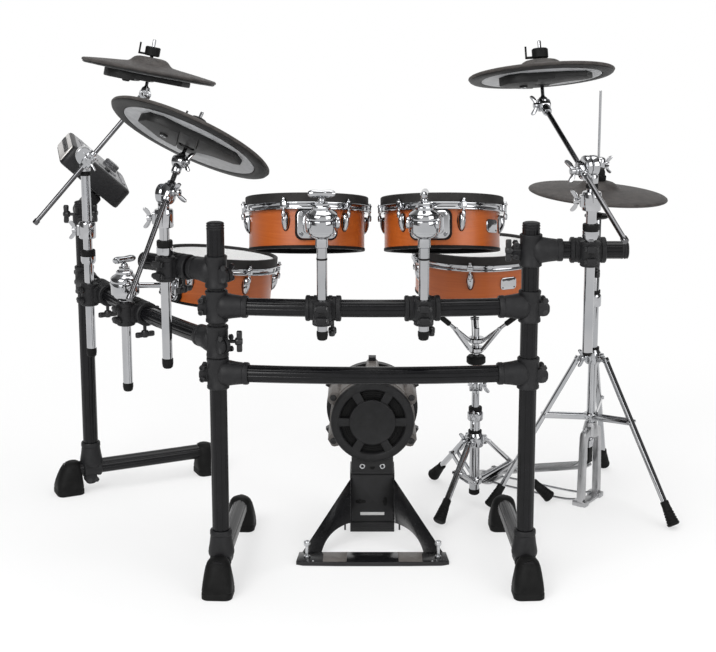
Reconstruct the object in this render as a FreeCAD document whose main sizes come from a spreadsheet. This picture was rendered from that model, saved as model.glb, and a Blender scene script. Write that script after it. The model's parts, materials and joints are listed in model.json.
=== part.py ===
"""Electronic drum kit: a tube rack with tom pads, cymbal pads and a sound module, a kick pad tower,
a snare pad on its stand and a hi-hat pad on a pedal stand.

Frame: millimetres, +Z up, +X to the right as the audience sees the kit, +Y towards the drummer.
The origin lies on the floor under the middle of the kick pad's front base strip.
"""
import FreeCAD, Part
import math
import os
import re
from types import SimpleNamespace

import Sketcher
from FreeCAD import Placement, Rotation, Units, Vector

RACK_SIZES = {
    "fit_gap": 0.3,
    "rack_tube_dia": 38.1,
    "post_spacing": 674,
    "post_setback": 130,
    "post_above": 12,
    "rear_post_left": 728,
    "rear_post_back": 480,
    "rear_post_above": 17.5,
    "lower_bar_height": 490,
    "wing_sleeve_gap": 1,
    "upper_sleeve_gap": 8,
    "bar_splay": 6.8,
    "left_arm_gap": 6,
    "right_arm_gap": 53,
    "left_arm_angle": 146,
    "right_arm_angle": 0,
    "arm_reach": 195,
    "leg_height": 62,
    "leg_ahead": 72,
    "leg_behind": 353,
    "leg_toe": 87,
    "rear_leg_angle": 24.7,
    "rear_leg_ahead": 72,
    "rear_leg_behind": 330,
    "sleeve_dia": 47,
    "sleeve_length": 70,
    "leg_sleeve_length": 46,
    "branch_reach": 68,
    "branch_root_dia": 58,
    "branch_tip_dia": 46,
    "ear_dia": 28,
    "ear_length": 22,
    "boot_height": 84,
    "boot_width": 68,
    "boot_length": 70,
    "boot_top": 50,
    "boot_wall": 8,
    "cap_height": 14,
    "bolt_dia": 8,
    "bolt_head_dia": 15,
    "clamp_length": 76,
    "clamp_dia": 56,
    "clamp_offset": 38,
    "clamp_grip_dia": 42,
    "clamp_height": 54,
    "left_arm_clamp": 110,
    "right_arm_clamp": 121.6,
    "floor_arm_along": 335,
    "crash_left_along": 560,
    "tom_arm_left": 106.5,
    "tom_arm_right": 105,
    "wing_bolt_span": 44,
    "wing_bolt_length": 34,
}

DRUM_SIZES = {
    "tom_dia": 254,
    "snare_dia": 304.8,
    "snare_turn": -70,
    "drum_depth": 118,
    "shell_wall": 7,
    "rim_overhang": 9,
    "rim_height": 20,
    "head_recess": 7,
    "head_thickness": 2,
    "hoop_height": 16,
    "hoop_wall": 8,
    "lug_width": 18,
    "lug_depth": 16,
    "lug_height": 44,
    "tension_rod_dia": 6,
    "sensor_beam_width": 46,
    "sensor_beam_height": 9,
    "sensor_cone_dia": 60,
    "bracket_width": 86,
    "bracket_height": 62,
    "bracket_plate": 9,
    "ball_dia": 30,
    "ball_rod_dia": 13,
    "barrel_dia": 66,
    "barrel_height": 41,
    "tom_tube_dia": 22.2,
    "barrel_neck": 14,
    "tom_tube_drop": 54,
    "floor_tube_drop": 180,
    "tom_barrel_gap": 132.5,
    "floor_barrel_gap": 5.5,
    "tom_tilt": 14.5,
    "tom_y": 10,
    "tom_rim_rise": 18.5,
    "tom_left_x": 146,
    "tom_right_x": 152.5,
    "floor_tom_x": 361,
    "floor_tom_y": 260,
    "floor_rim_rise": 49,
    "floor_tilt": 5,
    "floor_roll": 5.5,
}

CYMBAL_SIZES = {
    "mast_dia": 22.2,
    "mast_collar_dia": 41,
    "mast_collar_height": 40,
    "ratchet_dia": 44,
    "ratchet_post_width": 16,
    "ratchet_boom_width": 22,
    "boom_dia": 11,
    "stem_dia": 8,
    "seat_dia": 36,
    "seat_height": 14,
    "stopper_dia": 36,
    "stopper_height": 23,
    "crash_dia": 322.5,
    "ride_dia": 371.5,
    "pad_edge": 9,
    "pad_rise": 12,
    "bell_dia": 104,
    "bell_rise": 16,
    "pad_hole_dia": 18,
    "plate_thickness": 4,
    "rock_room": 3,
    "sensor_box": 46,
    "crash_left_below": 150,
    "crash_left_collar_gap": 92,
    "crash_left_ratchet_rise": 201,
    "crash_left_heading": 12.7,
    "crash_left_pitch": 48.2,
    "crash_left_up": 204.8,
    "crash_left_down": 191.3,
    "crash_left_back": 6.2,
    "crash_left_right": 11,
    "crash_left_stem": 51.8,
    "crash_left_lift": -12,
    "crash_left_side": 1,
    "ride_below": 216,
    "ride_collar_gap": 44,
    "ride_ratchet_rise": 72.6,
    "ride_heading": 64.3,
    "ride_pitch": 51.6,
    "ride_up": 74.8,
    "ride_down": 251,
    "ride_back": 22.2,
    "ride_right": 23,
    "ride_stem": 52,
    "ride_lift": 12,
    "ride_side": 1,
    "crash_right_below": 215,
    "crash_right_collar_gap": 46,
    "crash_right_ratchet_rise": 95,
    "crash_right_heading": 107.2,
    "crash_right_pitch": 28.1,
    "crash_right_up": 242,
    "crash_right_down": 228.6,
    "crash_right_back": 13.9,
    "crash_right_right": -3.6,
    "crash_right_stem": 62.9,
    "crash_right_lift": -12,
    "crash_right_side": -1,
}

KICK_SIZES = {
    "kick_width": 352,
    "kick_strip_depth": 63,
    "kick_plate": 10,
    "kick_tower_width": 107,
    "kick_tower_front": 181,
    "kick_tower_depth": 84,
    "kick_shoulder": 150,
    "kick_neck_width": 62,
    "kick_axis_height": 288,
    "kick_shell_dia": 198,
    "kick_shell_depth": 126,
    "kick_hoop_dia": 222,
    "kick_disc_dia": 110,
    "kick_cover_depth": 14,
    "kick_arch_width": 262,
    "kick_arch_rise": 158,
}

STAND_SIZES = {
    "hihat_x": 553,
    "hihat_y": 394,
    "hihat_tube_dia": 22.2,
    "hihat_tube_top": 735,
    "hihat_collar": 383,
    "hihat_hub": 227,
    "hihat_feet": 253,
    "hihat_frame_width": 88,
    "hihat_frame_top": 202,
    "hihat_bar_dia": 12,
    "pedal_reach": 290,
    "pedal_width": 58,
    "pedal_plate": 7,
    "pedal_toe_height": 96,
    "pedal_heel_height": 22,
    "pedal_heading": 146,
    "pedal_ear": 6,
    "hihat_leg_turn": -46.6,
    "snare_leg_turn": 0,
    "tilter_width": 16,
    "tilter_cheek": 8,
    "pull_rod_dia": 6.4,
    "pull_rod_top": 1048,
    "hihat_pad_height": 790,
    "hihat_pad_dia": 340,
    "hihat_roll": 3.9,
    "snare_x": 260,
    "snare_y": 385,
    "snare_rim_height": 671,
    "snare_tube_dia": 25.4,
    "snare_column_dia": 19,
    "snare_tube_top": 243,
    "snare_collar": 168,
    "snare_hub": 60,
    "snare_feet": 178,
    "snare_tilter": 312,
    "basket_hub": 420,
    "leg_rod_dia": 13,
    "strut_dia": 8,
    "tip_dia": 32,
    "tip_length": 46,
}

MODULE_SIZES = {
    "module_slope": 187,
    "module_thick": 57,
    "module_width": 280,
    "module_angle": 42.5,
    "module_yaw": 12,
    "module_back": 170,
    "module_right": 36,
    "module_lift": 109,
    "module_arm_gap": 85.5,
    "module_arm_dia": 22.2,
    "module_sleeve_dia": 36,
    "dial_dia": 44,
    "dial_height": 16,
    "dial_shaft_dia": 6,
    "key_size": 22,
    "key_travel": 3,
}

DIMENSIONS = {**RACK_SIZES, **DRUM_SIZES, **CYMBAL_SIZES, **KICK_SIZES, **STAND_SIZES, **MODULE_SIZES}

doc = FreeCAD.newDocument("drum_kit")
sheet = doc.addObject("Spreadsheet::Sheet", "dims")
for row, (alias, number) in enumerate(DIMENSIONS.items(), start=1):
    sheet.set(f"A{row}", alias)
    sheet.set(f"B{row}", str(number))
    sheet.setAlias(f"B{row}", alias)
doc.recompute()
size = SimpleNamespace(**{alias: float(getattr(sheet, alias)) for alias in DIMENSIONS})

ORIGIN = Vector(0, 0, 0)
UP = Vector(0, 0, 1)
RIGHT = Vector(1, 0, 0)
BACK = Vector(0, 1, 0)
nodes = []


def with_sheet_names(formula):
    """The formula with each alias written as a reference to its cell."""
    return re.sub(r"[a-z][a-z_0-9]*", lambda word: "dims." + word.group(0), formula)


def value(formula):
    """The number a formula in sheet aliases comes to."""
    if not isinstance(formula, str):
        return float(formula)
    plain = re.sub(r"[a-z][a-z_0-9]*", lambda word: f"({DIMENSIONS[word.group(0)]})", formula)
    return Units.Quantity(plain).Value


def bind(item, prop, formula):
    """Ties a size of an object to the sheet, or sets a worked-out number."""
    if isinstance(formula, str):
        item.setExpression(prop, with_sheet_names(formula))
    else:
        setattr(item, prop, formula)


def heading(angle):
    """Level unit vector at an angle in degrees from +X towards +Y."""
    return Vector(math.cos(math.radians(angle)), math.sin(math.radians(angle)), 0)


def frame(at, x_axis, z_axis=UP):
    """Placement at a point with its local Z kept and its local X as near as can be to x_axis."""
    z_unit = Vector(z_axis).normalize()
    y_unit = z_unit.cross(x_axis).normalize()
    return Placement(at, Rotation(y_unit.cross(z_unit), y_unit, z_unit, "ZXY"))


def cylinder(name, diameter, height, at=ORIGIN, direction=UP):
    item = doc.addObject("Part::Cylinder", name)
    bind(item, "Radius", f"({diameter}) / 2" if isinstance(diameter, str) else diameter / 2)
    bind(item, "Height", height)
    item.Placement = Placement(at, Rotation(UP, direction))
    return item


def rod(name, start, end, diameter):
    """Round bar between two points."""
    return cylinder(name, diameter, (end - start).Length, start, end - start)


def cone(name, bottom, top, height, at=ORIGIN, direction=UP):
    item = doc.addObject("Part::Cone", name)
    bind(item, "Radius1", f"({bottom}) / 2" if isinstance(bottom, str) else bottom / 2)
    bind(item, "Radius2", f"({top}) / 2" if isinstance(top, str) else top / 2)
    bind(item, "Height", height)
    item.Placement = Placement(at, Rotation(UP, direction))
    return item


def ball(name, diameter, at=ORIGIN):
    item = doc.addObject("Part::Sphere", name)
    bind(item, "Radius", f"({diameter}) / 2")
    item.Placement = Placement(at, Rotation(UP, 180).multiply(Rotation(RIGHT, 90)))
    return item


def box(name, lengths, centre=ORIGIN, base=None):
    """Box about its centre; base is the placement that turns it."""
    item = doc.addObject("Part::Box", name)
    for prop, formula in zip(("Length", "Width", "Height"), lengths):
        bind(item, prop, formula)
    corner = centre - Vector(*(value(formula) / 2 for formula in lengths))
    item.Placement = (base or Placement()).multiply(Placement(corner, Rotation()))
    return item


def fused(name, items, placement=None):
    item = doc.addObject("Part::MultiFuse", name)
    item.Shapes = items
    if placement:
        item.Placement = placement
    return item


def cut(name, base, tools, placement=None):
    """Takes the tools away one after another."""
    item = base
    for index, tool in enumerate(tools, start=1):
        left_over = doc.addObject("Part::Cut", name if index == len(tools) else f"{name}_cut_{index}")
        left_over.Base = item
        left_over.Tool = tool
        item = left_over
    if placement:
        item.Placement = placement
    return item


def revolved(name, profile, placement=None, rounding=None):
    """Turned body: profile lists (radius, height) formulas, rounding is (radius, [profile corners])."""
    body = doc.addObject("PartDesign::Body", name)
    sketch = body.newObject("Sketcher::SketchObject", name + "_profile")
    plane = next(item for item in body.Origin.OriginFeatures if item.Role == "XZ_Plane")
    sketch.AttachmentSupport = [(plane, "")]
    sketch.MapMode = "FlatFace"
    points = [Vector(value(radius), value(height), 0) for radius, height in profile]
    for index, point in enumerate(points):
        sketch.addGeometry(Part.LineSegment(point, points[(index + 1) % len(points)]), False)
    for index in range(len(points)):
        following = (index + 1) % len(points)
        sketch.addConstraint(Sketcher.Constraint("Coincident", index, 2, following, 1))
    for index, point in enumerate(points):
        pin_corner(sketch, index, "DistanceX", point.x, profile[index][0], axis=-2)
        pin_corner(sketch, index, "DistanceY", point.y, profile[index][1], axis=-1)
    turn = body.newObject("PartDesign::Revolution", name + "_turn")
    turn.Profile = sketch
    turn.ReferenceAxis = (sketch, ["V_Axis"])
    turn.Angle = 360
    if rounding:
        doc.recompute()
        radius, corners = rounding
        soft = body.newObject("PartDesign::Fillet", name + "_round")
        soft.Base = (turn, [edge_at(turn.Shape, points[corner]) for corner in corners])
        bind(soft, "Radius", radius)
    if placement:
        body.Placement = placement
    return body


def pin_corner(sketch, index, kind, number, formula, axis):
    """Holds one coordinate of a profile corner, on the axis where it is zero."""
    if abs(number) < 1e-9:
        sketch.addConstraint(Sketcher.Constraint("PointOnObject", index, 1, axis))
        return
    spot = sketch.addConstraint(Sketcher.Constraint(kind, -1, 1, index, 1, number))
    if isinstance(formula, str):
        sketch.setExpression(f"Constraints[{spot}]", with_sheet_names(formula))


def edge_at(shape, corner):
    """Name of the round edge that a profile corner turned into."""
    for number, edge in enumerate(shape.Edges, start=1):
        if not isinstance(edge.Curve, Part.Circle):
            continue
        if abs(edge.Curve.Radius - corner.x) < 1e-4 and abs(edge.Curve.Center.z - corner.y) < 1e-4:
            return f"Edge{number}"
    raise ValueError(f"no edge at {corner}")


def node(label, items, moved=None):
    """One named sub-part, a group of separate solids."""
    group = doc.addObject("Part::Compound", label)
    group.Links = items
    group.Label = label
    if moved:
        group.Placement = moved
    nodes.append(group)
    return group


# Rack
LEFT_POST = Vector(-size.post_spacing / 2, -size.post_setback, 0)
RIGHT_POST = Vector(size.post_spacing / 2, -size.post_setback, 0)
REAR_POST = Vector(-size.rear_post_left, size.rear_post_back, 0)
LEFT_ARM = heading(size.left_arm_angle)
RIGHT_ARM = heading(size.right_arm_angle)
WING_HEIGHT = size.lower_bar_height + size.sleeve_length + size.wing_sleeve_gap
UPPER_BAR_HEIGHT = WING_HEIGHT + size.sleeve_length + size.upper_sleeve_gap
LEFT_ARM_HEIGHT = UPPER_BAR_HEIGHT + size.sleeve_length + size.left_arm_gap
RIGHT_ARM_HEIGHT = UPPER_BAR_HEIGHT + size.sleeve_length + size.right_arm_gap
POST_TOP = RIGHT_ARM_HEIGHT + size.sleeve_length / 2 + size.post_above
BRACKET_HALF = 0.35 * size.sleeve_length
MODULE_WAY = heading(90 + size.module_yaw)
MODULE_ARM_HEIGHT = WING_HEIGHT + size.sleeve_length / 2 + size.module_arm_gap + BRACKET_HALF
REAR_POST_TOP = MODULE_ARM_HEIGHT + BRACKET_HALF + size.rear_post_above
POST_FOOT = size.leg_height + size.rack_tube_dia / 2 + 1
BAR_START = size.rack_tube_dia / 2 + 1
TUBE_BORE = "rack_tube_dia + 2 * fit_gap"
BAR_BORE = "rack_tube_dia + 4 * fit_gap"
MAST_BORE = "mast_dia + 2 * fit_gap"
LEGS = {
    "left": (LEFT_POST, heading(size.leg_toe), size.leg_ahead, size.leg_behind),
    "right": (RIGHT_POST, heading(180 - size.leg_toe), size.leg_ahead, size.leg_behind),
    "rear": (REAR_POST, heading(size.rear_leg_angle), size.rear_leg_ahead, size.rear_leg_behind),
}


def at_height(point, height):
    return Vector(point.x, point.y, height)


def bar_layout(start, end, height):
    """A level bar between two posts, bowed to its local -Y side, with straight ends in the sockets."""
    half = (end - start).Length / 2
    splay = math.radians(size.bar_splay)
    radius = (half - size.branch_reach * math.cos(splay)) / math.sin(splay)
    bow = size.branch_reach * math.sin(splay) + radius * (1 - math.cos(splay))
    base = frame(at_height((start + end) / 2, height), end - start)
    return SimpleNamespace(base=base, half=half, radius=radius, bow=bow, splay=splay, ends=(start, end))


def bar_frame(layout, along):
    """Placement on the bar's axis at a distance from its middle, with X along the bar."""
    dip = layout.radius - math.sqrt(layout.radius ** 2 - along ** 2)
    turn = Rotation(UP, math.degrees(math.asin(along / layout.radius)))
    return layout.base.multiply(Placement(Vector(along, dip - layout.bow, 0), turn))


def end_heading(layout, side):
    """Direction in which the bar leaves the post at its start (side 1) or its end (side -1)."""
    local = Vector(side * math.cos(layout.splay), -math.sin(layout.splay), 0)
    return layout.base.Rotation.multVec(local)


UPPER_BAR = bar_layout(LEFT_POST, RIGHT_POST, UPPER_BAR_HEIGHT)
LOWER_BAR = bar_layout(LEFT_POST, RIGHT_POST, size.lower_bar_height)
WING = bar_layout(REAR_POST, LEFT_POST, WING_HEIGHT)


def curved_bar(name, layout):
    arc = doc.addObject("Part::Torus", name + "_arc")
    arc.Radius1 = layout.radius
    bind(arc, "Radius2", "rack_tube_dia / 2")
    bind(arc, "Angle3", "2 * bar_splay")
    centre = Vector(0, layout.radius - layout.bow, 0)
    arc.Placement = layout.base.multiply(Placement(centre, Rotation(UP, -90 - size.bar_splay)))
    pieces = [arc]
    for side, post in zip((1, -1), layout.ends):
        root = at_height(post, layout.base.Base.z)
        way = end_heading(layout, side)
        stub = rod(f"{name}_end_{side + 1}", root + way * BAR_START, root + way * size.branch_reach,
                   "rack_tube_dia")
        pieces.append(stub)
    return fused(name, pieces)


def rack_tubes():
    posts = [
        rod("left_upright", at_height(LEFT_POST, POST_FOOT), at_height(LEFT_POST, POST_TOP),
            "rack_tube_dia"),
        rod("right_upright", at_height(RIGHT_POST, POST_FOOT), at_height(RIGHT_POST, POST_TOP),
            "rack_tube_dia"),
        rod("rear_upright", at_height(REAR_POST, POST_FOOT), at_height(REAR_POST, REAR_POST_TOP),
            "rack_tube_dia"),
    ]
    legs = []
    for name, (post, way, ahead, behind) in LEGS.items():
        middle = at_height(post, size.leg_height)
        legs.append(rod(f"{name}_leg", middle - way * ahead, middle + way * behind, "rack_tube_dia"))
    node("rack_uprights", posts)
    node("rack_legs", legs)
    layouts = {"upper_bar": UPPER_BAR, "lower_bar": LOWER_BAR, "wing_bar": WING}
    bars = [curved_bar(name, layout) for name, layout in layouts.items()]
    for name, post, way, height in arms():
        root = at_height(post, height)
        start = root + way * BAR_START
        bars.append(rod(f"{name}_arm", start, root + way * size.arm_reach, "rack_tube_dia"))
    node("rack_crossbars", bars)


def arms():
    """The two short arms above the upper bar: name, post, direction and height."""
    return (("left", LEFT_POST, LEFT_ARM, LEFT_ARM_HEIGHT),
            ("right", RIGHT_POST, RIGHT_ARM, RIGHT_ARM_HEIGHT))


def tee_sleeve(name, base, length):
    """Clamping tee: a sleeve along local Z, a tapered socket along local X and a bolt ear behind."""
    bottom = UP * (-value(length) / 2)
    collar = cylinder(name + "_ring", "sleeve_dia", length, bottom)
    root = size.rack_tube_dia / 4
    socket = cone(name + "_socket", "branch_root_dia", "branch_tip_dia",
                  "branch_reach - rack_tube_dia / 4", RIGHT * root, RIGHT)
    ear_spot = Vector(-size.sleeve_dia / 2, -size.ear_length / 2, 0)
    ear = cylinder(name + "_ear", "ear_dia", "ear_length", ear_spot, BACK)
    through = cylinder(name + "_through", TUBE_BORE, "branch_root_dia * 2", UP * -size.branch_root_dia)
    inlet = cylinder(name + "_inlet", TUBE_BORE, "branch_reach", ORIGIN, RIGHT)
    return cut(name, fused(name + "_body", [collar, socket, ear]), [through, inlet], base)


def ear_bolts(name, base):
    """A bolt head and a nut on the two faces of a tee's ear."""
    heads = []
    for side in (-1, 1):
        spot = Vector(-size.sleeve_dia / 2 - size.ear_dia / 6, side * size.ear_length / 2, 0)
        way = base.Rotation.multVec(BACK * side)
        place = base.multVec(spot)
        heads.append(cylinder(f"{name}_head_{side + 1}", "bolt_head_dia", "bolt_dia", place, way))
    return heads


def tee_frames():
    """Every tee of the rack: name and placement."""
    frames = {}
    for name, layout in (("upper", UPPER_BAR), ("lower", LOWER_BAR), ("wing", WING)):
        for side, post in zip((1, -1), layout.ends):
            spot = at_height(post, layout.base.Base.z)
            frames[f"{name}_tee_{side + 1}"] = frame(spot, end_heading(layout, side))
    for name, post, way, height in arms():
        frames[f"{name}_arm_tee"] = frame(at_height(post, height), way)
    for name, (post, way, ahead, behind) in LEGS.items():
        frames[f"{name}_leg_tee"] = frame(at_height(post, size.leg_height), UP, way)
    return frames


def rack_tees():
    frames = tee_frames()
    tees = []
    for name, base in frames.items():
        length = "leg_sleeve_length" if name.endswith("leg_tee") else "sleeve_length"
        tees.append(tee_sleeve(name, base, length))
    node("rack_joint_sleeves", tees)
    heads = []
    for name, base in frames.items():
        heads += ear_bolts(name, base)
    return heads


def boot(name, end, way):
    """Flared rubber boot over a leg's end; way points out along the leg."""
    block = doc.addObject("Part::Wedge", name + "_block")
    for prop, formula in (("Xmin", "-boot_width / 2"), ("Xmax", "boot_width / 2"), ("Ymin", "0"),
                          ("Ymax", "boot_height"), ("Zmin", "-boot_length / 2"),
                          ("Zmax", "boot_length / 2"),
                          ("X2min", "-boot_top / 2"), ("X2max", "boot_top / 2"),
                          ("Z2min", "-boot_length / 2"), ("Z2max", "boot_top - boot_length / 2")):
        bind(block, prop, formula)
    block.recompute()
    soft = doc.addObject("Part::Fillet", name + "_soft")
    soft.Base = block
    soft.Edges = [(number, size.boot_wall, size.boot_wall)
                  for number, edge in enumerate(block.Shape.Edges, start=1)
                  if max(vertex.Point.y for vertex in edge.Vertexes) > 1]
    tube_end = size.boot_top - size.boot_wall / 2 - size.boot_length / 2
    bore = rod(name + "_bore", Vector(0, size.leg_height, -size.boot_length),
               Vector(0, size.leg_height, tube_end + size.fit_gap), TUBE_BORE)
    spot = at_height(end - way * tube_end, 0)
    return cut(name, soft, [bore], frame(spot, UP.cross(way), way))


def rack_boots():
    boots = []
    for name, (post, way, ahead, behind) in LEGS.items():
        boots.append(boot(f"{name}_outer_boot", post - way * ahead, way * -1))
        boots.append(boot(f"{name}_inner_boot", post + way * behind, way))
    return boots


def end_cap(name, at, way):
    """Rounded plug that closes a tube's open end."""
    profile = [(0, 0), ("rack_tube_dia / 2", 0), ("rack_tube_dia / 2", "cap_height"), (0, "cap_height")]
    return revolved(name, profile, Placement(at, Rotation(UP, way)), ("cap_height / 3", [2]))


def rack_end_caps():
    caps = [end_cap("left_cap", at_height(LEFT_POST, POST_TOP), UP),
            end_cap("right_cap", at_height(RIGHT_POST, POST_TOP), UP),
            end_cap("rear_cap", at_height(REAR_POST, REAR_POST_TOP), UP)]
    for name, post, way, height in arms():
        caps.append(end_cap(f"{name}_arm_cap", at_height(post, height) + way * size.arm_reach, way))
    node("rack_end_caps", caps)


def rack_clamp(name, base):
    """Two-way clamp: a grip along the bar, local X, and an upright grip on its local -Y side."""
    grip_spot = Vector(0, -size.clamp_offset, -size.clamp_height / 2)
    along = cylinder(name + "_along", "clamp_dia", "clamp_length", RIGHT * (-size.clamp_length / 2), RIGHT)
    upright = cylinder(name + "_upright", "clamp_grip_dia", "clamp_height", grip_spot)
    web = box(name + "_web", ("clamp_grip_dia", "clamp_offset", "clamp_height * 0.8"),
              BACK * (-size.clamp_offset / 2))
    bar_bore = cylinder(name + "_bar", BAR_BORE, "clamp_length", RIGHT * (-size.clamp_length / 2), RIGHT)
    mast_bore = cylinder(name + "_mast", MAST_BORE, "clamp_height", grip_spot)
    return cut(name, fused(name + "_body", [along, upright, web]), [bar_bore, mast_bore], base)


def wing_bolt(name, at, way, span_way):
    """Wing bolt whose shaft starts at a point and runs along way."""
    shaft = cylinder(name + "_shaft", "bolt_dia", "wing_bolt_length")
    wings = box(name + "_wings", ("wing_bolt_span", "bolt_dia * 0.7", "wing_bolt_length / 2"),
                UP * (size.wing_bolt_length * 3 / 4))
    return fused(name, [shaft, wings], frame(at, span_way, way))


def clamp_frames():
    """Every bar clamp of the rack: name and placement, with the upright grip at local -Y."""
    left_spot = at_height(LEFT_POST, LEFT_ARM_HEIGHT) + LEFT_ARM * size.left_arm_clamp
    right_spot = at_height(RIGHT_POST, RIGHT_ARM_HEIGHT) + RIGHT_ARM * size.right_arm_clamp
    return {
        "tom_left": bar_frame(UPPER_BAR, -size.tom_arm_left),
        "tom_right": bar_frame(UPPER_BAR, size.tom_arm_right),
        "floor_tom": bar_frame(WING, WING.half - size.floor_arm_along),
        "crash_left": bar_frame(WING, WING.half - size.crash_left_along),
        "ride": frame(left_spot, LEFT_ARM * -1),
        "crash_right": frame(right_spot, RIGHT_ARM),
    }


CLAMPS = clamp_frames()


def mast_foot(name):
    """Point on the axis of a clamp's upright grip, at the bar's height."""
    return CLAMPS[name].multVec(BACK * -size.clamp_offset)


def module_bracket():
    """Clamp on the rear post with a level arm along which the module's sleeve turns."""
    spot = at_height(REAR_POST, MODULE_ARM_HEIGHT)
    collar = cylinder("bracket_ring", "sleeve_dia", 2 * BRACKET_HALF, UP * -BRACKET_HALF)
    arm = cylinder("bracket_arm", "module_arm_dia", "module_back + module_width / 4", ORIGIN, MODULE_WAY)
    bore = cylinder("bracket_bore", TUBE_BORE, 2 * BRACKET_HALF, UP * -BRACKET_HALF)
    return cut("bracket", fused("bracket_body", [collar, arm]), [bore], Placement(spot, Rotation()))


def rack_clamps():
    clamps = [rack_clamp(f"{name}_clamp", base) for name, base in CLAMPS.items()]
    node("rack_clamps", clamps + [module_bracket()])
    bolts = []
    for name, base in CLAMPS.items():
        spot = Vector(size.clamp_length / 4, 0, -size.clamp_dia / 2)
        span = base.Rotation.multVec(BACK)
        bolts.append(wing_bolt(f"{name}_wing", base.multVec(spot), UP * -1, span))
    return bolts


# Drums
def drum_base(rim_centre, normal, towards):
    """Placement at the middle of a shell's lower edge, with X towards its bracket and Z out of its head."""
    return frame(rim_centre - normal * size.drum_depth, towards, normal)


def leaning(back, right=0):
    """Unit normal of a drum or pad that leans back to the drummer and to the right, in degrees."""
    lean = Vector(math.sin(math.radians(right)), math.sin(math.radians(back)), 0)
    return Vector(lean.x, lean.y, math.sqrt(1 - lean.Length ** 2))


def ring(name, inner, outer, bottom, top, base, rounding=None):
    profile = [(inner, bottom), (outer, bottom), (outer, top), (inner, top)]
    return revolved(name, profile, base, rounding)


HEAD_BOTTOM = "drum_depth - head_recess - head_thickness"
RIM_BOTTOM = "drum_depth - rim_height"
HOOP_BOTTOM = "drum_depth - rim_height - hoop_height"
HOOP_INSIDE = "4 * fit_gap"
LUG_COUNT = 6


def drum_lug(name, base, angle, diameter):
    """Teardrop lug on the shell with its tension rod and the claw that grips the hoop."""
    radius = value(diameter) / 2
    hoop_bottom = value(HOOP_BOTTOM)
    lug_middle = hoop_bottom - size.lug_height / 2 - size.lug_depth / 2
    hoop_outside = radius + value(HOOP_INSIDE) + size.hoop_wall
    rod_radius = hoop_outside + size.tension_rod_dia * 0.7
    drop = doc.addObject("Part::Ellipsoid", name + "_drop")
    bind(drop, "Radius1", "lug_height / 2")
    bind(drop, "Radius2", "lug_depth")
    bind(drop, "Radius3", "lug_width / 2")
    drop.Placement = Placement(Vector(radius, 0, lug_middle), Rotation())
    claw = box(name + "_claw", ("tension_rod_dia * 1.6", "lug_width * 0.8", "hoop_height * 0.8"),
               Vector(hoop_outside + size.fit_gap + size.tension_rod_dia * 0.8, 0,
                      hoop_bottom + size.hoop_height * 0.4))
    screw = rod(name + "_screw", Vector(rod_radius, 0, lug_middle), Vector(rod_radius, 0, hoop_bottom),
                "tension_rod_dia")
    seat = cylinder(name + "_seat", f"{diameter} + 2 * fit_gap", "drum_depth")
    turn = base.multiply(Placement(ORIGIN, Rotation(UP, angle)))
    return cut(name, fused(name + "_body", [drop, claw, screw]), [seat], turn)


def drum_bracket(name, base, spot, diameter):
    """Plate on the shell with a rod that ends in the ball at a point in the drum's own frame."""
    radius = value(diameter) / 2
    reach = radius + size.bracket_plate
    plate = box(name + "_plate", ("bracket_plate * 3", "bracket_width", "bracket_height"),
                Vector(radius - size.bracket_plate / 2, 0, spot.z))
    arm = rod(name + "_arm", Vector(reach - 1, 0, spot.z), spot, "ball_rod_dia")
    knob = ball(name + "_knob", "ball_dia", spot)
    seat = cylinder(name + "_seat", f"{diameter} + 2 * fit_gap", "drum_depth")
    return cut(name, fused(name + "_body", [plate, arm, knob]), [seat], base)


def drum(name, base, diameter, pivot=None, lug_turn=30):
    """Shell, mesh head, rubber rim, chrome hardware and trigger beam of one drum pad."""
    radius = f"{diameter} / 2"
    node(f"{name}_shell", [ring(f"{name}_wood", f"{radius} - shell_wall", radius, 0, HEAD_BOTTOM, base)])
    head = [(0, HEAD_BOTTOM), (radius, HEAD_BOTTOM), (radius, "drum_depth - head_recess"),
            (0, "drum_depth - head_recess")]
    node(f"{name}_head", [revolved(f"{name}_mesh", head, base)])
    rim = ring(f"{name}_rubber", f"{radius} + fit_gap", f"{radius} + rim_overhang", RIM_BOTTOM,
               "drum_depth", base, ("rim_overhang / 3", [2, 3]))
    node(f"{name}_rim", [rim])
    hoop = ring(f"{name}_hoop", f"{radius} + {HOOP_INSIDE}", f"{radius} + {HOOP_INSIDE} + hoop_wall",
                HOOP_BOTTOM, RIM_BOTTOM, base)
    metal = [hoop]
    for index in range(LUG_COUNT):
        angle = lug_turn + index * 360 / LUG_COUNT
        metal.append(drum_lug(f"{name}_lug_{index}", base, angle, diameter))
    if pivot:
        metal.append(drum_bracket(f"{name}_bracket", base, base.inverse().multVec(pivot), diameter))
    node(f"{name}_hardware", metal)
    inside = f"{diameter} - 2 * shell_wall - 2 * fit_gap"
    beam = box(f"{name}_beam", (inside, "sensor_beam_width", "sensor_beam_height"),
               UP * (size.sensor_beam_height * 1.5))
    trim = cylinder(f"{name}_trim", inside, "drum_depth")
    beam_cut = doc.addObject("Part::Common", f"{name}_beam_cut")
    beam_cut.Base = beam
    beam_cut.Tool = trim
    foam = cone(f"{name}_foam", "sensor_cone_dia", "sensor_cone_dia / 2",
                f"{HEAD_BOTTOM} - fit_gap - sensor_beam_height * 2", UP * (size.sensor_beam_height * 2))
    node(f"{name}_sensor", [fused(f"{name}_trigger", [beam_cut, foam], base)])


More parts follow.
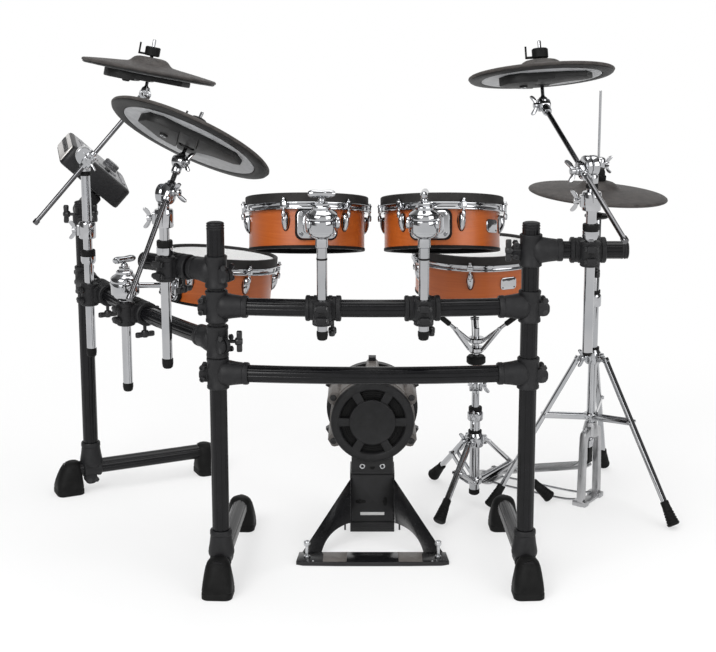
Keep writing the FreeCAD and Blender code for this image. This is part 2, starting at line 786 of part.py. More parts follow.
def tom_arm(name, clamp, barrel_height, tube_bottom, towards):
    """Upright tube with the ball clamp on top; the clamp's slot faces the drum."""
    foot = mast_foot(clamp)
    tube_top = barrel_height - size.barrel_height / 2 - size.barrel_neck
    tube = rod(f"{name}_tube", at_height(foot, tube_bottom), at_height(foot, tube_top), "tom_tube_dia")
    half = size.barrel_height / 2
    barrel = cylinder(f"{name}_barrel", "barrel_dia", "barrel_height", UP * -half)
    dome = cone(f"{name}_dome", "barrel_dia * 0.8", "barrel_dia * 0.4", "barrel_neck", UP * half)
    neck = cone(f"{name}_neck", "tom_tube_dia * 1.2", "barrel_dia * 0.7", "barrel_neck",
                UP * (-half - size.barrel_neck))
    cavity = ball(f"{name}_cavity", "ball_dia + 2 * fit_gap")
    slot_height = half + size.ball_rod_dia
    slot = box(f"{name}_slot", ("barrel_dia", "ball_rod_dia + 12 * fit_gap", slot_height),
               Vector(size.barrel_dia / 2, 0, (size.ball_rod_dia - slot_height) / 2))
    hollow = cut(f"{name}_hollow_barrel", barrel, [slot, cavity])
    clamp_head = fused(f"{name}_clamp_head", [hollow, dome, neck],
                       frame(at_height(foot, barrel_height), towards))
    nut_spot = at_height(foot, barrel_height + half + size.barrel_neck)
    nut = wing_bolt(f"{name}_nut", nut_spot, UP, RIGHT)
    node(f"{name}_arm", [tube, clamp_head, nut])


def level(vector):
    return Vector(vector.x, vector.y, 0).normalize()


def mounted_drum(name, rim_centre, normal, diameter, barrel_height, tube_bottom):
    """A drum on its arm; returns the pivot and the tilt axis of the ball clamp."""
    pivot = at_height(mast_foot(name), barrel_height)
    base = drum_base(rim_centre, normal, pivot - rim_centre)
    towards = level(rim_centre - pivot)
    drum(name, base, diameter, pivot)
    tom_arm(name, name, barrel_height, tube_bottom, towards)
    return pivot, UP.cross(towards)


BARREL_ROOM = size.clamp_height / 2 + size.barrel_neck + size.barrel_height / 2
TOM_BARREL_HEIGHT = UPPER_BAR_HEIGHT + BARREL_ROOM + size.tom_barrel_gap
FLOOR_BARREL_HEIGHT = WING_HEIGHT + BARREL_ROOM + size.floor_barrel_gap


def drums():
    tom_normal = leaning(size.tom_tilt)
    tom_tube_bottom = UPPER_BAR_HEIGHT - size.tom_tube_drop
    left = Vector(-size.tom_left_x, size.tom_y, TOM_BARREL_HEIGHT + size.tom_rim_rise)
    right = Vector(size.tom_right_x, size.tom_y, TOM_BARREL_HEIGHT + size.tom_rim_rise)
    floor = Vector(-size.floor_tom_x, size.floor_tom_y, FLOOR_BARREL_HEIGHT + size.floor_rim_rise)
    floor_normal = leaning(size.floor_tilt, size.floor_roll)
    toms = {
        "tom_left": mounted_drum("tom_left", left, tom_normal, "tom_dia", TOM_BARREL_HEIGHT,
                                 tom_tube_bottom),
        "tom_right": mounted_drum("tom_right", right, tom_normal, "tom_dia", TOM_BARREL_HEIGHT,
                                  tom_tube_bottom),
        "floor_tom": mounted_drum("floor_tom", floor, floor_normal, "tom_dia", FLOOR_BARREL_HEIGHT,
                                  WING_HEIGHT - size.floor_tube_drop),
    }
    snare = Vector(size.snare_x, size.snare_y, size.snare_rim_height)
    drum("snare", drum_base(snare, UP, heading(size.snare_turn)), "snare_dia")
    return toms


# Cymbals
CYMBAL_PADS = {"crash_left": "crash_dia", "ride": "ride_dia", "crash_right": "crash_dia"}


def collar_height(name):
    """Height of a mast's collar, clear of its bar clamp and of the memory ring below it."""
    room = (size.clamp_height + size.mast_collar_height) / 2
    return mast_foot(name).z + room + getattr(size, f"{name}_collar_gap")


def cymbal_layout(name):
    """Points, directions and frames of one cymbal on its boom."""
    ratchet = at_height(mast_foot(name), collar_height(name) + getattr(size, f"{name}_ratchet_rise"))
    level_way = heading(getattr(size, f"{name}_heading"))
    axis = heading(getattr(size, f"{name}_heading") - 90)
    pitch = math.radians(getattr(size, f"{name}_pitch"))
    way = level_way * math.cos(pitch) + UP * math.sin(pitch)
    upward = axis.cross(way)
    axis = axis * getattr(size, f"{name}_side")
    aside = size.ratchet_post_width / 2 + size.fit_gap + size.ratchet_boom_width / 2
    middle = ratchet + axis * aside + upward * getattr(size, f"{name}_lift")
    tilter = middle + way * getattr(size, f"{name}_up")
    normal = leaning(getattr(size, f"{name}_back"), getattr(size, f"{name}_right"))
    seat = tilter + normal * getattr(size, f"{name}_stem")
    rock_axis = (axis - normal * axis.dot(normal)).normalize()
    return SimpleNamespace(ratchet=ratchet, axis=axis, way=way, middle=middle, tilter=tilter, normal=normal,
                           seat=seat, rock_axis=rock_axis)


def cymbal_mast(name, layout):
    """Upright tube with its height collar, memory ring, ratchet disc and pivot pin."""
    foot = mast_foot(name)
    collar_bottom = at_height(foot, collar_height(name))
    tube_bottom = foot - UP * getattr(size, f"{name}_below")
    tube_top = layout.ratchet - UP * (size.ratchet_dia / 2 + abs(getattr(size, f"{name}_lift")))
    tube = rod(f"{name}_mast_tube", tube_bottom, tube_top, "mast_dia")
    neck = rod(f"{name}_mast_neck", tube_top, layout.ratchet, "ratchet_post_width * 0.9")
    collar = cylinder(f"{name}_collar", "mast_collar_dia", "mast_collar_height", collar_bottom)
    memory = cylinder(f"{name}_memory", "mast_collar_dia * 0.85", "mast_collar_height / 3",
                      collar_bottom - UP * (size.mast_collar_height / 2))
    disc_start = layout.ratchet - layout.axis * (size.ratchet_post_width / 2)
    disc = cylinder(f"{name}_disc", "ratchet_dia", "ratchet_post_width", disc_start, layout.axis)
    pin_length = "ratchet_post_width + ratchet_boom_width + 2 * fit_gap + bolt_dia"
    pin = cylinder(f"{name}_pin", "bolt_dia", pin_length, disc_start, layout.axis)
    nut_start = disc_start + layout.axis * value("ratchet_post_width + ratchet_boom_width + 2 * fit_gap")
    nut = cylinder(f"{name}_pin_nut", "bolt_head_dia", "bolt_dia", nut_start, layout.axis)
    return fused(f"{name}_mast", [tube, neck, collar, memory, disc, pin, nut])


def cymbal_boom(name, layout):
    """Boom rod with its ratchet disc, tilter, stem, seat, stopper and wing nut."""
    disc_start = layout.ratchet + layout.axis * (size.ratchet_post_width / 2 + size.fit_gap)
    disc = cylinder(f"{name}_boom_disc", "ratchet_dia", "ratchet_boom_width", disc_start, layout.axis)
    lower = layout.middle - layout.way * getattr(size, f"{name}_down")
    bar = rod(f"{name}_boom_bar", lower, layout.tilter, "boom_dia")
    knuckle = ball(f"{name}_knuckle", "boom_dia * 2.4", layout.tilter)
    pivot = cylinder(f"{name}_boom_pivot", "bolt_dia + 2 * fit_gap", "ratchet_boom_width", disc_start,
                     layout.axis)
    stopper_at = layout.seat + layout.normal * value("pad_edge + pad_rise + bell_rise + rock_room")
    nut_at = stopper_at + layout.normal * size.stopper_height
    stem_end = nut_at + layout.normal * size.wing_bolt_length
    stem = rod(f"{name}_stem_rod", layout.tilter, stem_end, "stem_dia")
    seat_at = layout.seat - layout.normal * (size.seat_height + size.fit_gap)
    seat = cone(f"{name}_seat", "seat_dia", "pad_hole_dia - 1.6", "seat_height", seat_at, layout.normal)
    stopper = cylinder(f"{name}_stopper", "stopper_dia", "stopper_height", stopper_at, layout.normal)
    wings = box(f"{name}_wings", ("wing_bolt_span", "stem_dia * 0.8", "wing_bolt_length / 2"),
                UP * (size.wing_bolt_length * 0.4), frame(nut_at, layout.rock_axis, layout.normal))
    solid = fused(f"{name}_boom_body", [disc, bar, knuckle, stem, seat, stopper, wings])
    node(f"{name}_boom", [cut(f"{name}_boom_cut", solid, [pivot])])


def pad_profile(radius):
    """Half section of a pad from its underside: rounded edge, shallow bow and raised bell."""
    bow_top = "plate_thickness + pad_edge + pad_rise"
    bell_top = f"{bow_top} + bell_rise"
    return [("pad_hole_dia / 2", "plate_thickness"), (f"{radius} - pad_edge", "plate_thickness"),
            (radius, "plate_thickness + pad_edge / 2"),
            (f"{radius} - pad_edge / 2", "plate_thickness + pad_edge"),
            ("bell_dia / 2", bow_top), ("bell_dia * 0.3", bell_top), ("pad_hole_dia / 2", bell_top)]


def pad_base(layout):
    """Placement of a pad's underside plate, below the seat by the plate's thickness."""
    return frame(layout.seat - layout.normal * size.plate_thickness, layout.rock_axis, layout.normal)


def cymbal_pad(name, layout, diameter):
    base = pad_base(layout)
    node(f"{name}_pad", [revolved(f"{name}_rubber", pad_profile(f"{diameter} / 2"), base)])
    plate = ring(f"{name}_plate_ring", "seat_dia * 0.6", f"{diameter} * 0.41", 0, "plate_thickness", base)
    pickup = box(f"{name}_pickup", ("sensor_box * 2", "sensor_box", "sensor_box / 2"),
                 Vector(0, size.crash_dia / 5, -size.sensor_box / 4), base)
    node(f"{name}_base_plate", [plate, pickup])


def cymbals():
    layouts = {name: cymbal_layout(name) for name in CYMBAL_PADS}
    node("cymbal_masts", [cymbal_mast(name, layout) for name, layout in layouts.items()])
    for name, layout in layouts.items():
        cymbal_boom(name, layout)
        cymbal_pad(name, layout, CYMBAL_PADS[name])
    return layouts


# Kick pad
def kick_arch():
    """Sloping front plate with an arch cut through it, standing on the base strip's rear edge."""
    strip_back = size.kick_strip_depth / 2
    run = size.kick_tower_front - strip_back
    slope = math.hypot(run, size.kick_shoulder)
    base = frame(Vector(0, strip_back, 0), RIGHT, Vector(0, -size.kick_shoulder, run))
    half = size.kick_width / 2
    top = size.kick_tower_width / 2
    corners = [Vector(-half, 0, 0), Vector(half, 0, 0), Vector(top, slope, 0), Vector(-top, slope, 0)]
    outline = Part.makePolygon(corners + corners[:1])
    plate = Part.Face(outline).extrude(UP * size.kick_plate)
    arch_half = size.kick_arch_width / 2
    left, right = Vector(-arch_half, 0, 0), Vector(arch_half, 0, 0)
    arc = Part.Arc(right, Vector(0, size.kick_arch_rise, 0), left).toShape()
    hole = Part.Face(Part.Wire([arc, Part.makeLine(left, right)])).extrude(UP * size.kick_plate)
    item = doc.addObject("Part::Feature", "kick_arch")
    item.Shape = plate.cut(hole)
    item.Placement = base
    return item


def kick_base():
    strip = box("kick_strip", ("kick_width", "kick_strip_depth", "kick_plate"), UP * (size.kick_plate / 2))
    foot = box("kick_foot", ("kick_tower_width", "kick_tower_depth", "kick_plate"),
               Vector(0, size.kick_tower_front + size.kick_tower_depth / 2, size.kick_plate / 2))
    floor = box("kick_floor", ("kick_width * 2", "kick_tower_front * 4", "kick_plate * 4"),
                UP * (-size.kick_plate * 2))
    tower_room = box("kick_tower_room", ("kick_tower_width", "kick_tower_depth", "kick_shoulder * 2"),
                     Vector(0, size.kick_tower_front + size.kick_tower_depth / 2, 0))
    arch = cut("kick_arch_trim", kick_arch(), [floor, tower_room])
    node("kick_base_frame", [fused("kick_base", [strip, arch]), foot])
    bolts = []
    for side in (-1, 1):
        spot = Vector(side * size.kick_width * 0.43, 0, size.kick_plate)
        bolts.append(cylinder(f"kick_anchor_{side + 1}", "bolt_head_dia", "bolt_head_dia", spot))
    node("kick_anchor_bolts", bolts)


def kick_tower():
    middle = size.kick_tower_front + size.kick_tower_depth / 2
    shoulder = size.kick_shoulder
    neck_top = size.kick_axis_height
    lower = box("kick_tower_lower", ("kick_tower_width", "kick_tower_depth", "kick_shoulder - kick_plate"),
                Vector(0, middle, (shoulder + size.kick_plate) / 2))
    neck = box("kick_tower_neck", ("kick_neck_width", "kick_tower_depth * 0.7", neck_top - shoulder),
               Vector(0, middle, (neck_top + shoulder) / 2))
    shell_room = cylinder("kick_shell_room", "kick_shell_dia + 2 * fit_gap", "kick_shell_depth * 4",
                          Vector(0, -size.kick_shell_depth, neck_top), BACK)
    node("kick_tower", [cut("kick_tower_body", fused("kick_tower_block", [lower, neck]), [shell_room])])


def kick_drum():
    """Housing, spoked front cover, mesh head and rear hoop; the local Z axis points at the drummer."""
    start = size.kick_tower_front + size.kick_tower_depth / 2 - size.kick_shell_depth / 2
    base = frame(Vector(0, start, size.kick_axis_height), RIGHT, BACK)
    radius = "kick_shell_dia / 2"
    housing = ring("kick_housing", f"{radius} - shell_wall", radius, 0, "kick_shell_depth", base)
    node("kick_drum_shell", [housing])
    plate = cylinder("kick_cover_plate", "kick_shell_dia", "kick_cover_depth / 3")
    disc = cylinder("kick_cover_disc", "kick_disc_dia", "kick_cover_depth")
    rim = ring("kick_cover_rim", f"{radius} - shell_wall", radius, 0, "kick_cover_depth", Placement())
    spokes = []
    spoke_lengths = ("(kick_shell_dia - shell_wall) / 2", "lug_width", "kick_cover_depth * 0.8")
    spoke_middle = Vector((size.kick_shell_dia - size.shell_wall) / 4, 0, size.kick_cover_depth * 0.4)
    for index in range(LUG_COUNT):
        turn = Placement(ORIGIN, Rotation(UP, index * 360 / LUG_COUNT))
        spokes.append(box(f"kick_spoke_{index}", spoke_lengths, spoke_middle, turn))
    front = frame(Vector(0, start, size.kick_axis_height), RIGHT, BACK * -1)
    node("kick_front_cover", [fused("kick_cover", [plate, disc, rim] + spokes, front)])
    head = [(0, "kick_shell_depth"), (radius, "kick_shell_depth"),
            (radius, "kick_shell_depth + head_thickness"), (0, "kick_shell_depth + head_thickness")]
    node("kick_head", [revolved("kick_mesh", head, base)])
    hoop = ring("kick_hoop_ring", f"{radius} + fit_gap", "kick_hoop_dia / 2",
                "kick_shell_depth - hoop_height", "kick_shell_depth + head_thickness * 3", base,
                ("head_thickness", [2, 3]))
    claws = []
    claw_lengths = ("lug_depth", "lug_width", "lug_height / 2")
    claw_middle = Vector((size.kick_hoop_dia + size.lug_depth) / 2 - 1, 0,
                         size.kick_shell_depth - size.hoop_height / 2)
    for index in range(LUG_COUNT):
        turn = Placement(ORIGIN, Rotation(UP, 30 + index * 360 / LUG_COUNT))
        claws.append(box(f"kick_claw_{index}", claw_lengths, claw_middle, turn))
    seat = cylinder("kick_claw_seat", "kick_hoop_dia + 2 * fit_gap", "kick_shell_depth * 2")
    claw_ring = cut("kick_claws", fused("kick_claw_set", claws), [seat], base)
    node("kick_hoop", [hoop, claw_ring])


# Floor stands
HIHAT = Vector(size.hihat_x, size.hihat_y, 0)
SNARE = Vector(size.snare_x, size.snare_y, 0)
HIHAT_LEGS = [size.hihat_leg_turn + 120 * index for index in range(3)]
SNARE_LEGS = [size.snare_leg_turn + 120 * index for index in range(3)]
ROD_BORE = "pull_rod_dia + 4 * fit_gap"


def leg_end(foot, angle, collar_height, reach):
    """End of a tripod leg, at which its rubber tip just meets the floor."""
    start = at_height(foot, collar_height)
    end = foot + heading(angle) * reach
    for _ in range(3):
        way = (end - start).normalize()
        end.z = size.tip_dia / 2 * math.hypot(way.x, way.y) - way.z * size.tip_length / 2
    return end


def tripod(name, foot, tube, collar_height, hub_height, reach, angles):
    """Collar with three legs, and a lower hub with three struts to the legs' middles."""
    start = at_height(foot, collar_height)
    hub = at_height(foot, hub_height)
    height = size.mast_collar_height * 0.8
    collar = cylinder(name + "_collar", f"{tube} * 1.8", height, start - UP * (height / 2))
    ring_low = cylinder(name + "_hub", f"{tube} * 1.6", height / 2, hub - UP * (height / 4))
    pieces = [collar, ring_low]
    for index, angle in enumerate(angles):
        end = leg_end(foot, angle, collar_height, reach)
        pieces.append(rod(f"{name}_leg_{index}", start, end, "leg_rod_dia"))
        pieces.append(rod(f"{name}_strut_{index}", hub, start + (end - start) * 0.55, "strut_dia"))
    bore = cylinder(name + "_bore", f"{tube} + 2 * fit_gap", collar_height * 2, foot)
    return cut(name, fused(name + "_body", pieces), [bore])


def tripod_tips(name, foot, collar_height, reach, angles):
    """Rubber tips over the ends of a tripod's legs."""
    tips = []
    for index, angle in enumerate(angles):
        end = leg_end(foot, angle, collar_height, reach)
        way = (end - at_height(foot, collar_height)).normalize()
        back = end - way * (size.tip_length / 2)
        outside = cone(f"{name}_tip_{index}_outside", "tip_dia * 0.7", "tip_dia", "tip_length", back, way)
        hole = rod(f"{name}_tip_{index}_hole", back - way, end + way * size.fit_gap,
                   "leg_rod_dia + 2 * fit_gap")
        tips.append(cut(f"{name}_tip_{index}", outside, [hole]))
    return tips


def stand_tubes():
    """Hi-hat tube with the pull rod's bore, and the snare stand's lower tube with its height collar."""
    hihat_start = at_height(HIHAT, size.hihat_frame_top)
    hihat_end = at_height(HIHAT, size.hihat_tube_top)
    hihat = cut("hihat_tube", rod("hihat_tube_outside", hihat_start, hihat_end, "hihat_tube_dia"),
                [rod("hihat_tube_bore", hihat_start, hihat_end, ROD_BORE)])
    bottom = at_height(SNARE, size.snare_hub / 2)
    top = at_height(SNARE, size.snare_tube_top)
    outside = rod("snare_tube_outside", bottom, top, "snare_tube_dia")
    collar = cylinder("snare_tube_collar", "snare_tube_dia * 1.6", "mast_collar_height * 0.6",
                      top - UP * (size.mast_collar_height * 0.3))
    bore = rod("snare_tube_bore", bottom + UP * size.snare_hub / 2, top + UP * size.mast_collar_height,
               "snare_column_dia + 2 * fit_gap")
    node("stand_tubes", [hihat, cut("snare_tube", fused("snare_tube_body", [outside, collar]), [bore])])


def stand_tripods():
    node("stand_tripods", [
        tripod("hihat_tripod", HIHAT, "hihat_tube_dia", size.hihat_collar, size.hihat_hub, size.hihat_feet,
               HIHAT_LEGS),
        tripod("snare_tripod", SNARE, "snare_tube_dia", size.snare_collar, size.snare_hub, size.snare_feet,
               SNARE_LEGS),
    ])
    return (tripod_tips("hihat", HIHAT, size.hihat_collar, size.hihat_feet, HIHAT_LEGS)
            + tripod_tips("snare", SNARE, size.snare_collar, size.snare_feet, SNARE_LEGS))


# Hi-hat: local X points from the rod to the heel, local Y across the pedal
PEDAL = frame(HIHAT, heading(size.pedal_heading))
HEEL = Vector(size.pedal_reach, 0, size.pedal_heel_height)
PEDAL_SLOPE = math.atan2(size.pedal_toe_height - size.pedal_heel_height, size.pedal_reach)
BARREL_LENGTH = size.pedal_width * 0.75


def hihat_frame():
    """Pedal frame: floor plate, two uprights, top bridge, floor wires, heel plate and hinge ears."""
    depth = size.hihat_bar_dia * 3
    plate = size.pedal_plate
    across = (size.hihat_frame_width - size.hihat_bar_dia) / 2
    top = size.hihat_frame_top
    width = "hihat_frame_width + hihat_bar_dia"
    floor = box("frame_floor", (depth, width, plate), UP * (plate / 2))
    bridge = box("frame_bridge", (depth, width, plate * 2), UP * (top - plate))
    heel = box("frame_heel", (depth * 2, "pedal_width + 4 * bolt_dia", plate),
               Vector(size.pedal_reach + depth / 2, 0, plate / 2))
    pieces = [floor, bridge, heel]
    for side in (-1, 1):
        spot = BACK * (side * across)
        pieces.append(rod(f"frame_upright_{side + 1}", spot + UP * plate / 2, spot + UP * top,
                          "hihat_bar_dia"))
        wire = BACK * (side * across / 2) + UP * (plate / 2)
        pieces.append(rod(f"frame_wire_{side + 1}", wire, wire + RIGHT * size.pedal_reach,
                          "strut_dia * 0.6"))
        ear = Vector(HEEL.x, side * (BARREL_LENGTH + size.pedal_ear + 2 * size.fit_gap) / 2,
                     (size.pedal_heel_height + size.bolt_dia) / 2)
        ear_lengths = ("bolt_dia * 2", "pedal_ear", "pedal_heel_height + bolt_dia")
        pieces.append(box(f"frame_ear_{side + 1}", ear_lengths, ear))
    pin_half = BARREL_LENGTH / 2 + size.pedal_ear
    pieces.append(rod("frame_pin", HEEL - BACK * pin_half, HEEL + BACK * pin_half, "bolt_dia * 0.75"))
    bore = cylinder("frame_bore", ROD_BORE, size.hihat_frame_top, UP * (top / 2))
    node("hihat_frame", [cut("pedal_frame", fused("pedal_frame_body", pieces), [bore], PEDAL)])


def hihat_footboard():
    """Ribbed board that turns on the heel pin; its toe end lies under the strap."""
    slope = Rotation(BACK, math.degrees(PEDAL_SLOPE))
    base = PEDAL.multiply(Placement(HEEL, slope))
    length = size.pedal_reach + size.hihat_bar_dia
    start = size.bolt_dia * 1.5
    board = box("board_plate", (length - start, "pedal_width", "pedal_plate"),
                RIGHT * (-(length + start) / 2))
    barrel_start = BACK * (-BARREL_LENGTH / 2)
    barrel = cylinder("board_barrel", "bolt_dia * 1.7", BARREL_LENGTH, barrel_start, BACK)
    web = box("board_web", (start * 1.2, BARREL_LENGTH, "pedal_plate"), RIGHT * (-start * 0.6))
    hole = cylinder("board_hole", "bolt_dia * 0.75 + 2 * fit_gap", BARREL_LENGTH, barrel_start, BACK)
    node("hihat_footboard", [cut("footboard", fused("board_body", [board, barrel, web]), [hole], base)])


def hihat_top():
    """Pull rod with its strap and clutch, the pad it carries and the fixed sensor below the pad."""
    normal = leaning(0, size.hihat_roll)
    seat = at_height(HIHAT, size.hihat_pad_height)
    strap_bottom = size.pedal_toe_height + size.pedal_plate
    strap_top = strap_bottom + size.mast_collar_height
    strap = box("strap", (size.pedal_plate / 2, "pedal_width * 0.4", strap_top - strap_bottom),
                UP * (strap_bottom + strap_top) / 2, PEDAL)
    bar = rod("pull_bar", at_height(HIHAT, strap_top - size.pedal_plate),
              at_height(HIHAT, size.pull_rod_top), "pull_rod_dia")
    pad_top = value("pad_edge + pad_rise + bell_rise")
    gap = normal * size.fit_gap
    core = rod("clutch_core", seat - gap, seat + normal * pad_top + gap, "pad_hole_dia - 2 * fit_gap")
    under = rod("clutch_under", seat - gap - normal * size.bolt_dia, seat - gap, "seat_dia * 0.7")
    over = rod("clutch_over", seat + normal * pad_top + gap,
               seat + normal * (pad_top + size.stopper_height) + gap, "seat_dia * 0.6")
    node("hihat_pull_rod", [fused("pull_rod", [strap, bar, core, under, over])])
    base = frame(seat - normal * size.plate_thickness, RIGHT, normal)
    node("hihat_pad", [revolved("hihat_rubber", pad_profile("hihat_pad_dia / 2"), base)])
    sensor = ring("hihat_sensor_ring", f"({ROD_BORE}) / 2", "mast_collar_dia * 0.75", 0, "bolt_dia",
                  Placement(at_height(HIHAT, size.hihat_tube_top), Rotation()))
    node("hihat_sensor_base", [sensor])


# Snare stand, upper part
TILTER = at_height(SNARE, size.snare_tilter)
TILTER_WIDTH = size.tilter_width
CHEEK = size.tilter_cheek


def snare_column():
    """Sliding column with the tilter's tongue and pin."""
    tongue_start = TILTER - RIGHT * (TILTER_WIDTH / 2)
    bottom = at_height(SNARE, size.snare_tube_top / 2)
    column = rod("column_rod", bottom, TILTER, "snare_column_dia")
    tongue = cylinder("column_tongue", "snare_column_dia * 1.9", TILTER_WIDTH, tongue_start, RIGHT)
    trim_width = size.snare_column_dia
    trim_lengths = (trim_width, "snare_column_dia * 2", "snare_column_dia * 2")
    side_trims = []
    for side in (-1, 1):
        centre = TILTER + RIGHT * (side * (TILTER_WIDTH + trim_width) / 2)
        side_trims.append(box(f"column_trim_{side + 1}", trim_lengths, centre))
    pin_half = RIGHT * (TILTER_WIDTH / 2 + CHEEK * 1.5)
    pin = rod("column_pin", TILTER - pin_half, TILTER + pin_half, "bolt_dia")
    shaft = cut("column_shaft", fused("column_body", [column, tongue]), side_trims)
    node("snare_column", [fused("column", [shaft, pin])])


def snare_basket():
    """Tilter cheeks, basket stem with its hubs and knob, and three arms that carry the shell's edge."""
    pieces = []
    cheek_lengths = (CHEEK, "snare_column_dia * 1.2", "snare_column_dia * 1.6")
    stem_bottom = size.snare_tilter + size.snare_column_dia * 1.2
    for side in (-1, 1):
        start = TILTER + RIGHT * (side * (TILTER_WIDTH / 2 + size.fit_gap) + (CHEEK * (side - 1) / 2))
        pieces.append(cylinder(f"cheek_{side + 1}", "snare_column_dia * 1.9", CHEEK, start, RIGHT))
        centre = start + RIGHT * (CHEEK / 2) + UP * (size.snare_column_dia * 0.8)
        pieces.append(box(f"cheek_plate_{side + 1}", cheek_lengths, centre))
    pieces.append(box("cheek_bridge", (TILTER_WIDTH + 2 * CHEEK, "snare_column_dia * 1.2", CHEEK),
                      at_height(SNARE, stem_bottom + CHEEK / 2)))
    hub = size.basket_hub
    shell_bottom = size.snare_rim_height - size.drum_depth
    edge = size.snare_dia / 2 - size.shell_wall / 2
    arm_top = shell_bottom - size.tension_rod_dia * 2
    pieces.append(rod("basket_stem", at_height(SNARE, stem_bottom), at_height(SNARE, hub + size.seat_dia),
                      "boom_dia * 1.4"))
    for name, drop, wide in (("knob", 1.4, 1.0), ("low_hub", 0.7, 1.1), ("hub", 0, 1.2)):
        spot = at_height(SNARE, hub - size.seat_dia * drop)
        pieces.append(cylinder(f"basket_{name}", size.seat_dia * wide, size.seat_height, spot))
    for index in range(3):
        way = heading(90 + 120 * index)
        elbow = at_height(SNARE, arm_top) + way * edge
        pieces.append(rod(f"basket_arm_{index}", at_height(SNARE, hub + size.seat_height / 2), elbow,
                          "strut_dia"))
        rest_top = shell_bottom - size.fit_gap
        pieces.append(rod(f"basket_rest_{index}", elbow - UP * size.strut_dia / 2,
                          at_height(elbow, rest_top), "boom_dia * 1.4"))
    shell_room = cylinder("basket_room", "snare_dia", "drum_depth",
                          at_height(SNARE, shell_bottom - size.fit_gap))
    pin_hole = rod("basket_pin_hole", TILTER - RIGHT * 2 * TILTER_WIDTH, TILTER + RIGHT * 2 * TILTER_WIDTH,
                   "bolt_dia + 2 * fit_gap")
    node("snare_basket", [cut("basket", fused("basket_body", pieces), [shell_room, pin_hole])])


# Sound module
def module_frame():
    """Placement at the case's middle: X down the slope, Y along the rack arm, Z out of the panel."""
    angle = math.radians(size.module_angle)
    right = heading(size.module_yaw)
    middle = MODULE_AXIS + right * size.module_right + UP * size.module_lift
    across = right * math.cos(angle) - UP * math.sin(angle)
    return frame(middle, across, right * math.sin(angle) + UP * math.cos(angle))


MODULE_AXIS = at_height(REAR_POST, MODULE_ARM_HEIGHT) + MODULE_WAY * size.module_back
MODULE = module_frame()
DIAL_SPOT = Vector(size.module_slope / 5, size.module_width / 5, size.module_thick / 2)
KEY_SPOT = Vector(size.module_slope / 5, -size.module_width / 5, size.module_thick / 2)


def module():
    """Case on its turning holder, the kit dial and the start key."""
    block = box("module_block", ("module_slope", "module_width", "module_thick"))
    block.recompute()
    soft = doc.addObject("Part::Fillet", "module_soft")
    soft.Base = block
    edge_count = len(block.Shape.Edges)
    soft.Edges = [(number, size.boot_wall, size.boot_wall) for number in range(1, edge_count + 1)]
    shaft_hole = cylinder("dial_hole", "dial_shaft_dia + 2 * fit_gap", "dial_height + fit_gap",
                          DIAL_SPOT - UP * size.dial_height)
    key_room = "key_size + 2 * fit_gap"
    key_depth = size.key_travel * 4
    key_hole = box("key_hole", (key_room, key_room, key_depth),
                   KEY_SPOT - UP * (key_depth / 2 - size.fit_gap))
    case = cut("case", soft, [shaft_hole, key_hole], MODULE)
    hang = MODULE.inverse().multVec(MODULE_AXIS)
    floor = -size.module_thick / 2
    neck = box("holder_neck", ("module_sleeve_dia * 0.8", "module_sleeve_dia * 2", floor - hang.z),
               Vector(hang.x, 0, (floor + hang.z) / 2))
    half = size.module_sleeve_dia
    ring_out = cylinder("holder_ring", "module_sleeve_dia", half * 2, hang - BACK * half, BACK)
    bore = cylinder("holder_bore", "module_arm_dia + 2 * fit_gap", half * 2, hang - BACK * half, BACK)
    holder = cut("holder", fused("holder_body", [neck, ring_out]), [bore], MODULE)
    node("module_case", [case, holder])
    dial_spot = DIAL_SPOT + UP * size.fit_gap
    knob = cone("dial_knob", "dial_dia", "dial_dia * 0.9", "dial_height", dial_spot)
    shaft = rod("dial_shaft", DIAL_SPOT - UP * (size.dial_height * 0.9), dial_spot + UP, "dial_shaft_dia")
    node("module_dial", [fused("dial", [knob, shaft], MODULE)])
    node("module_key", [box("start_key", ("key_size", "key_size", "key_travel * 3"), KEY_SPOT, MODULE)])


def checked(item):
    if "Invalid" in item.State or "Error" in item.State:
        raise RuntimeError(f"{item.Name} failed: {item.State}")


def export_nodes():
    for item in doc.Objects:
        checked(item)
    os.makedirs("parts", exist_ok=True)
    for item in nodes:
        if item.Shape.isNull() or not item.Shape.isValid():
            raise RuntimeError(f"{item.Label} has a bad shape")
    for item in nodes:
        item.Shape.exportStep(f"parts/{item.Label}.step")


rack_tubes()
TEE_BOLTS = rack_tees()
rack_end_caps()
CLAMP_BOLTS = rack_clamps()
node("rack_wing_bolts", TEE_BOLTS + CLAMP_BOLTS)
TOMS = drums()
CYMBALS = cymbals()
kick_base()
kick_tower()
kick_drum()
stand_tubes()
TIPS = stand_tripods()
node("rubber_feet", rack_boots() + TIPS)
hihat_frame()
hihat_footboard()
hihat_top()
snare_column()
snare_basket()
module()
doc.recompute()
export_nodes()
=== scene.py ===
import json
import math
from collections import namedtuple

import bmesh
import bpy
from mathutils import Matrix, Vector


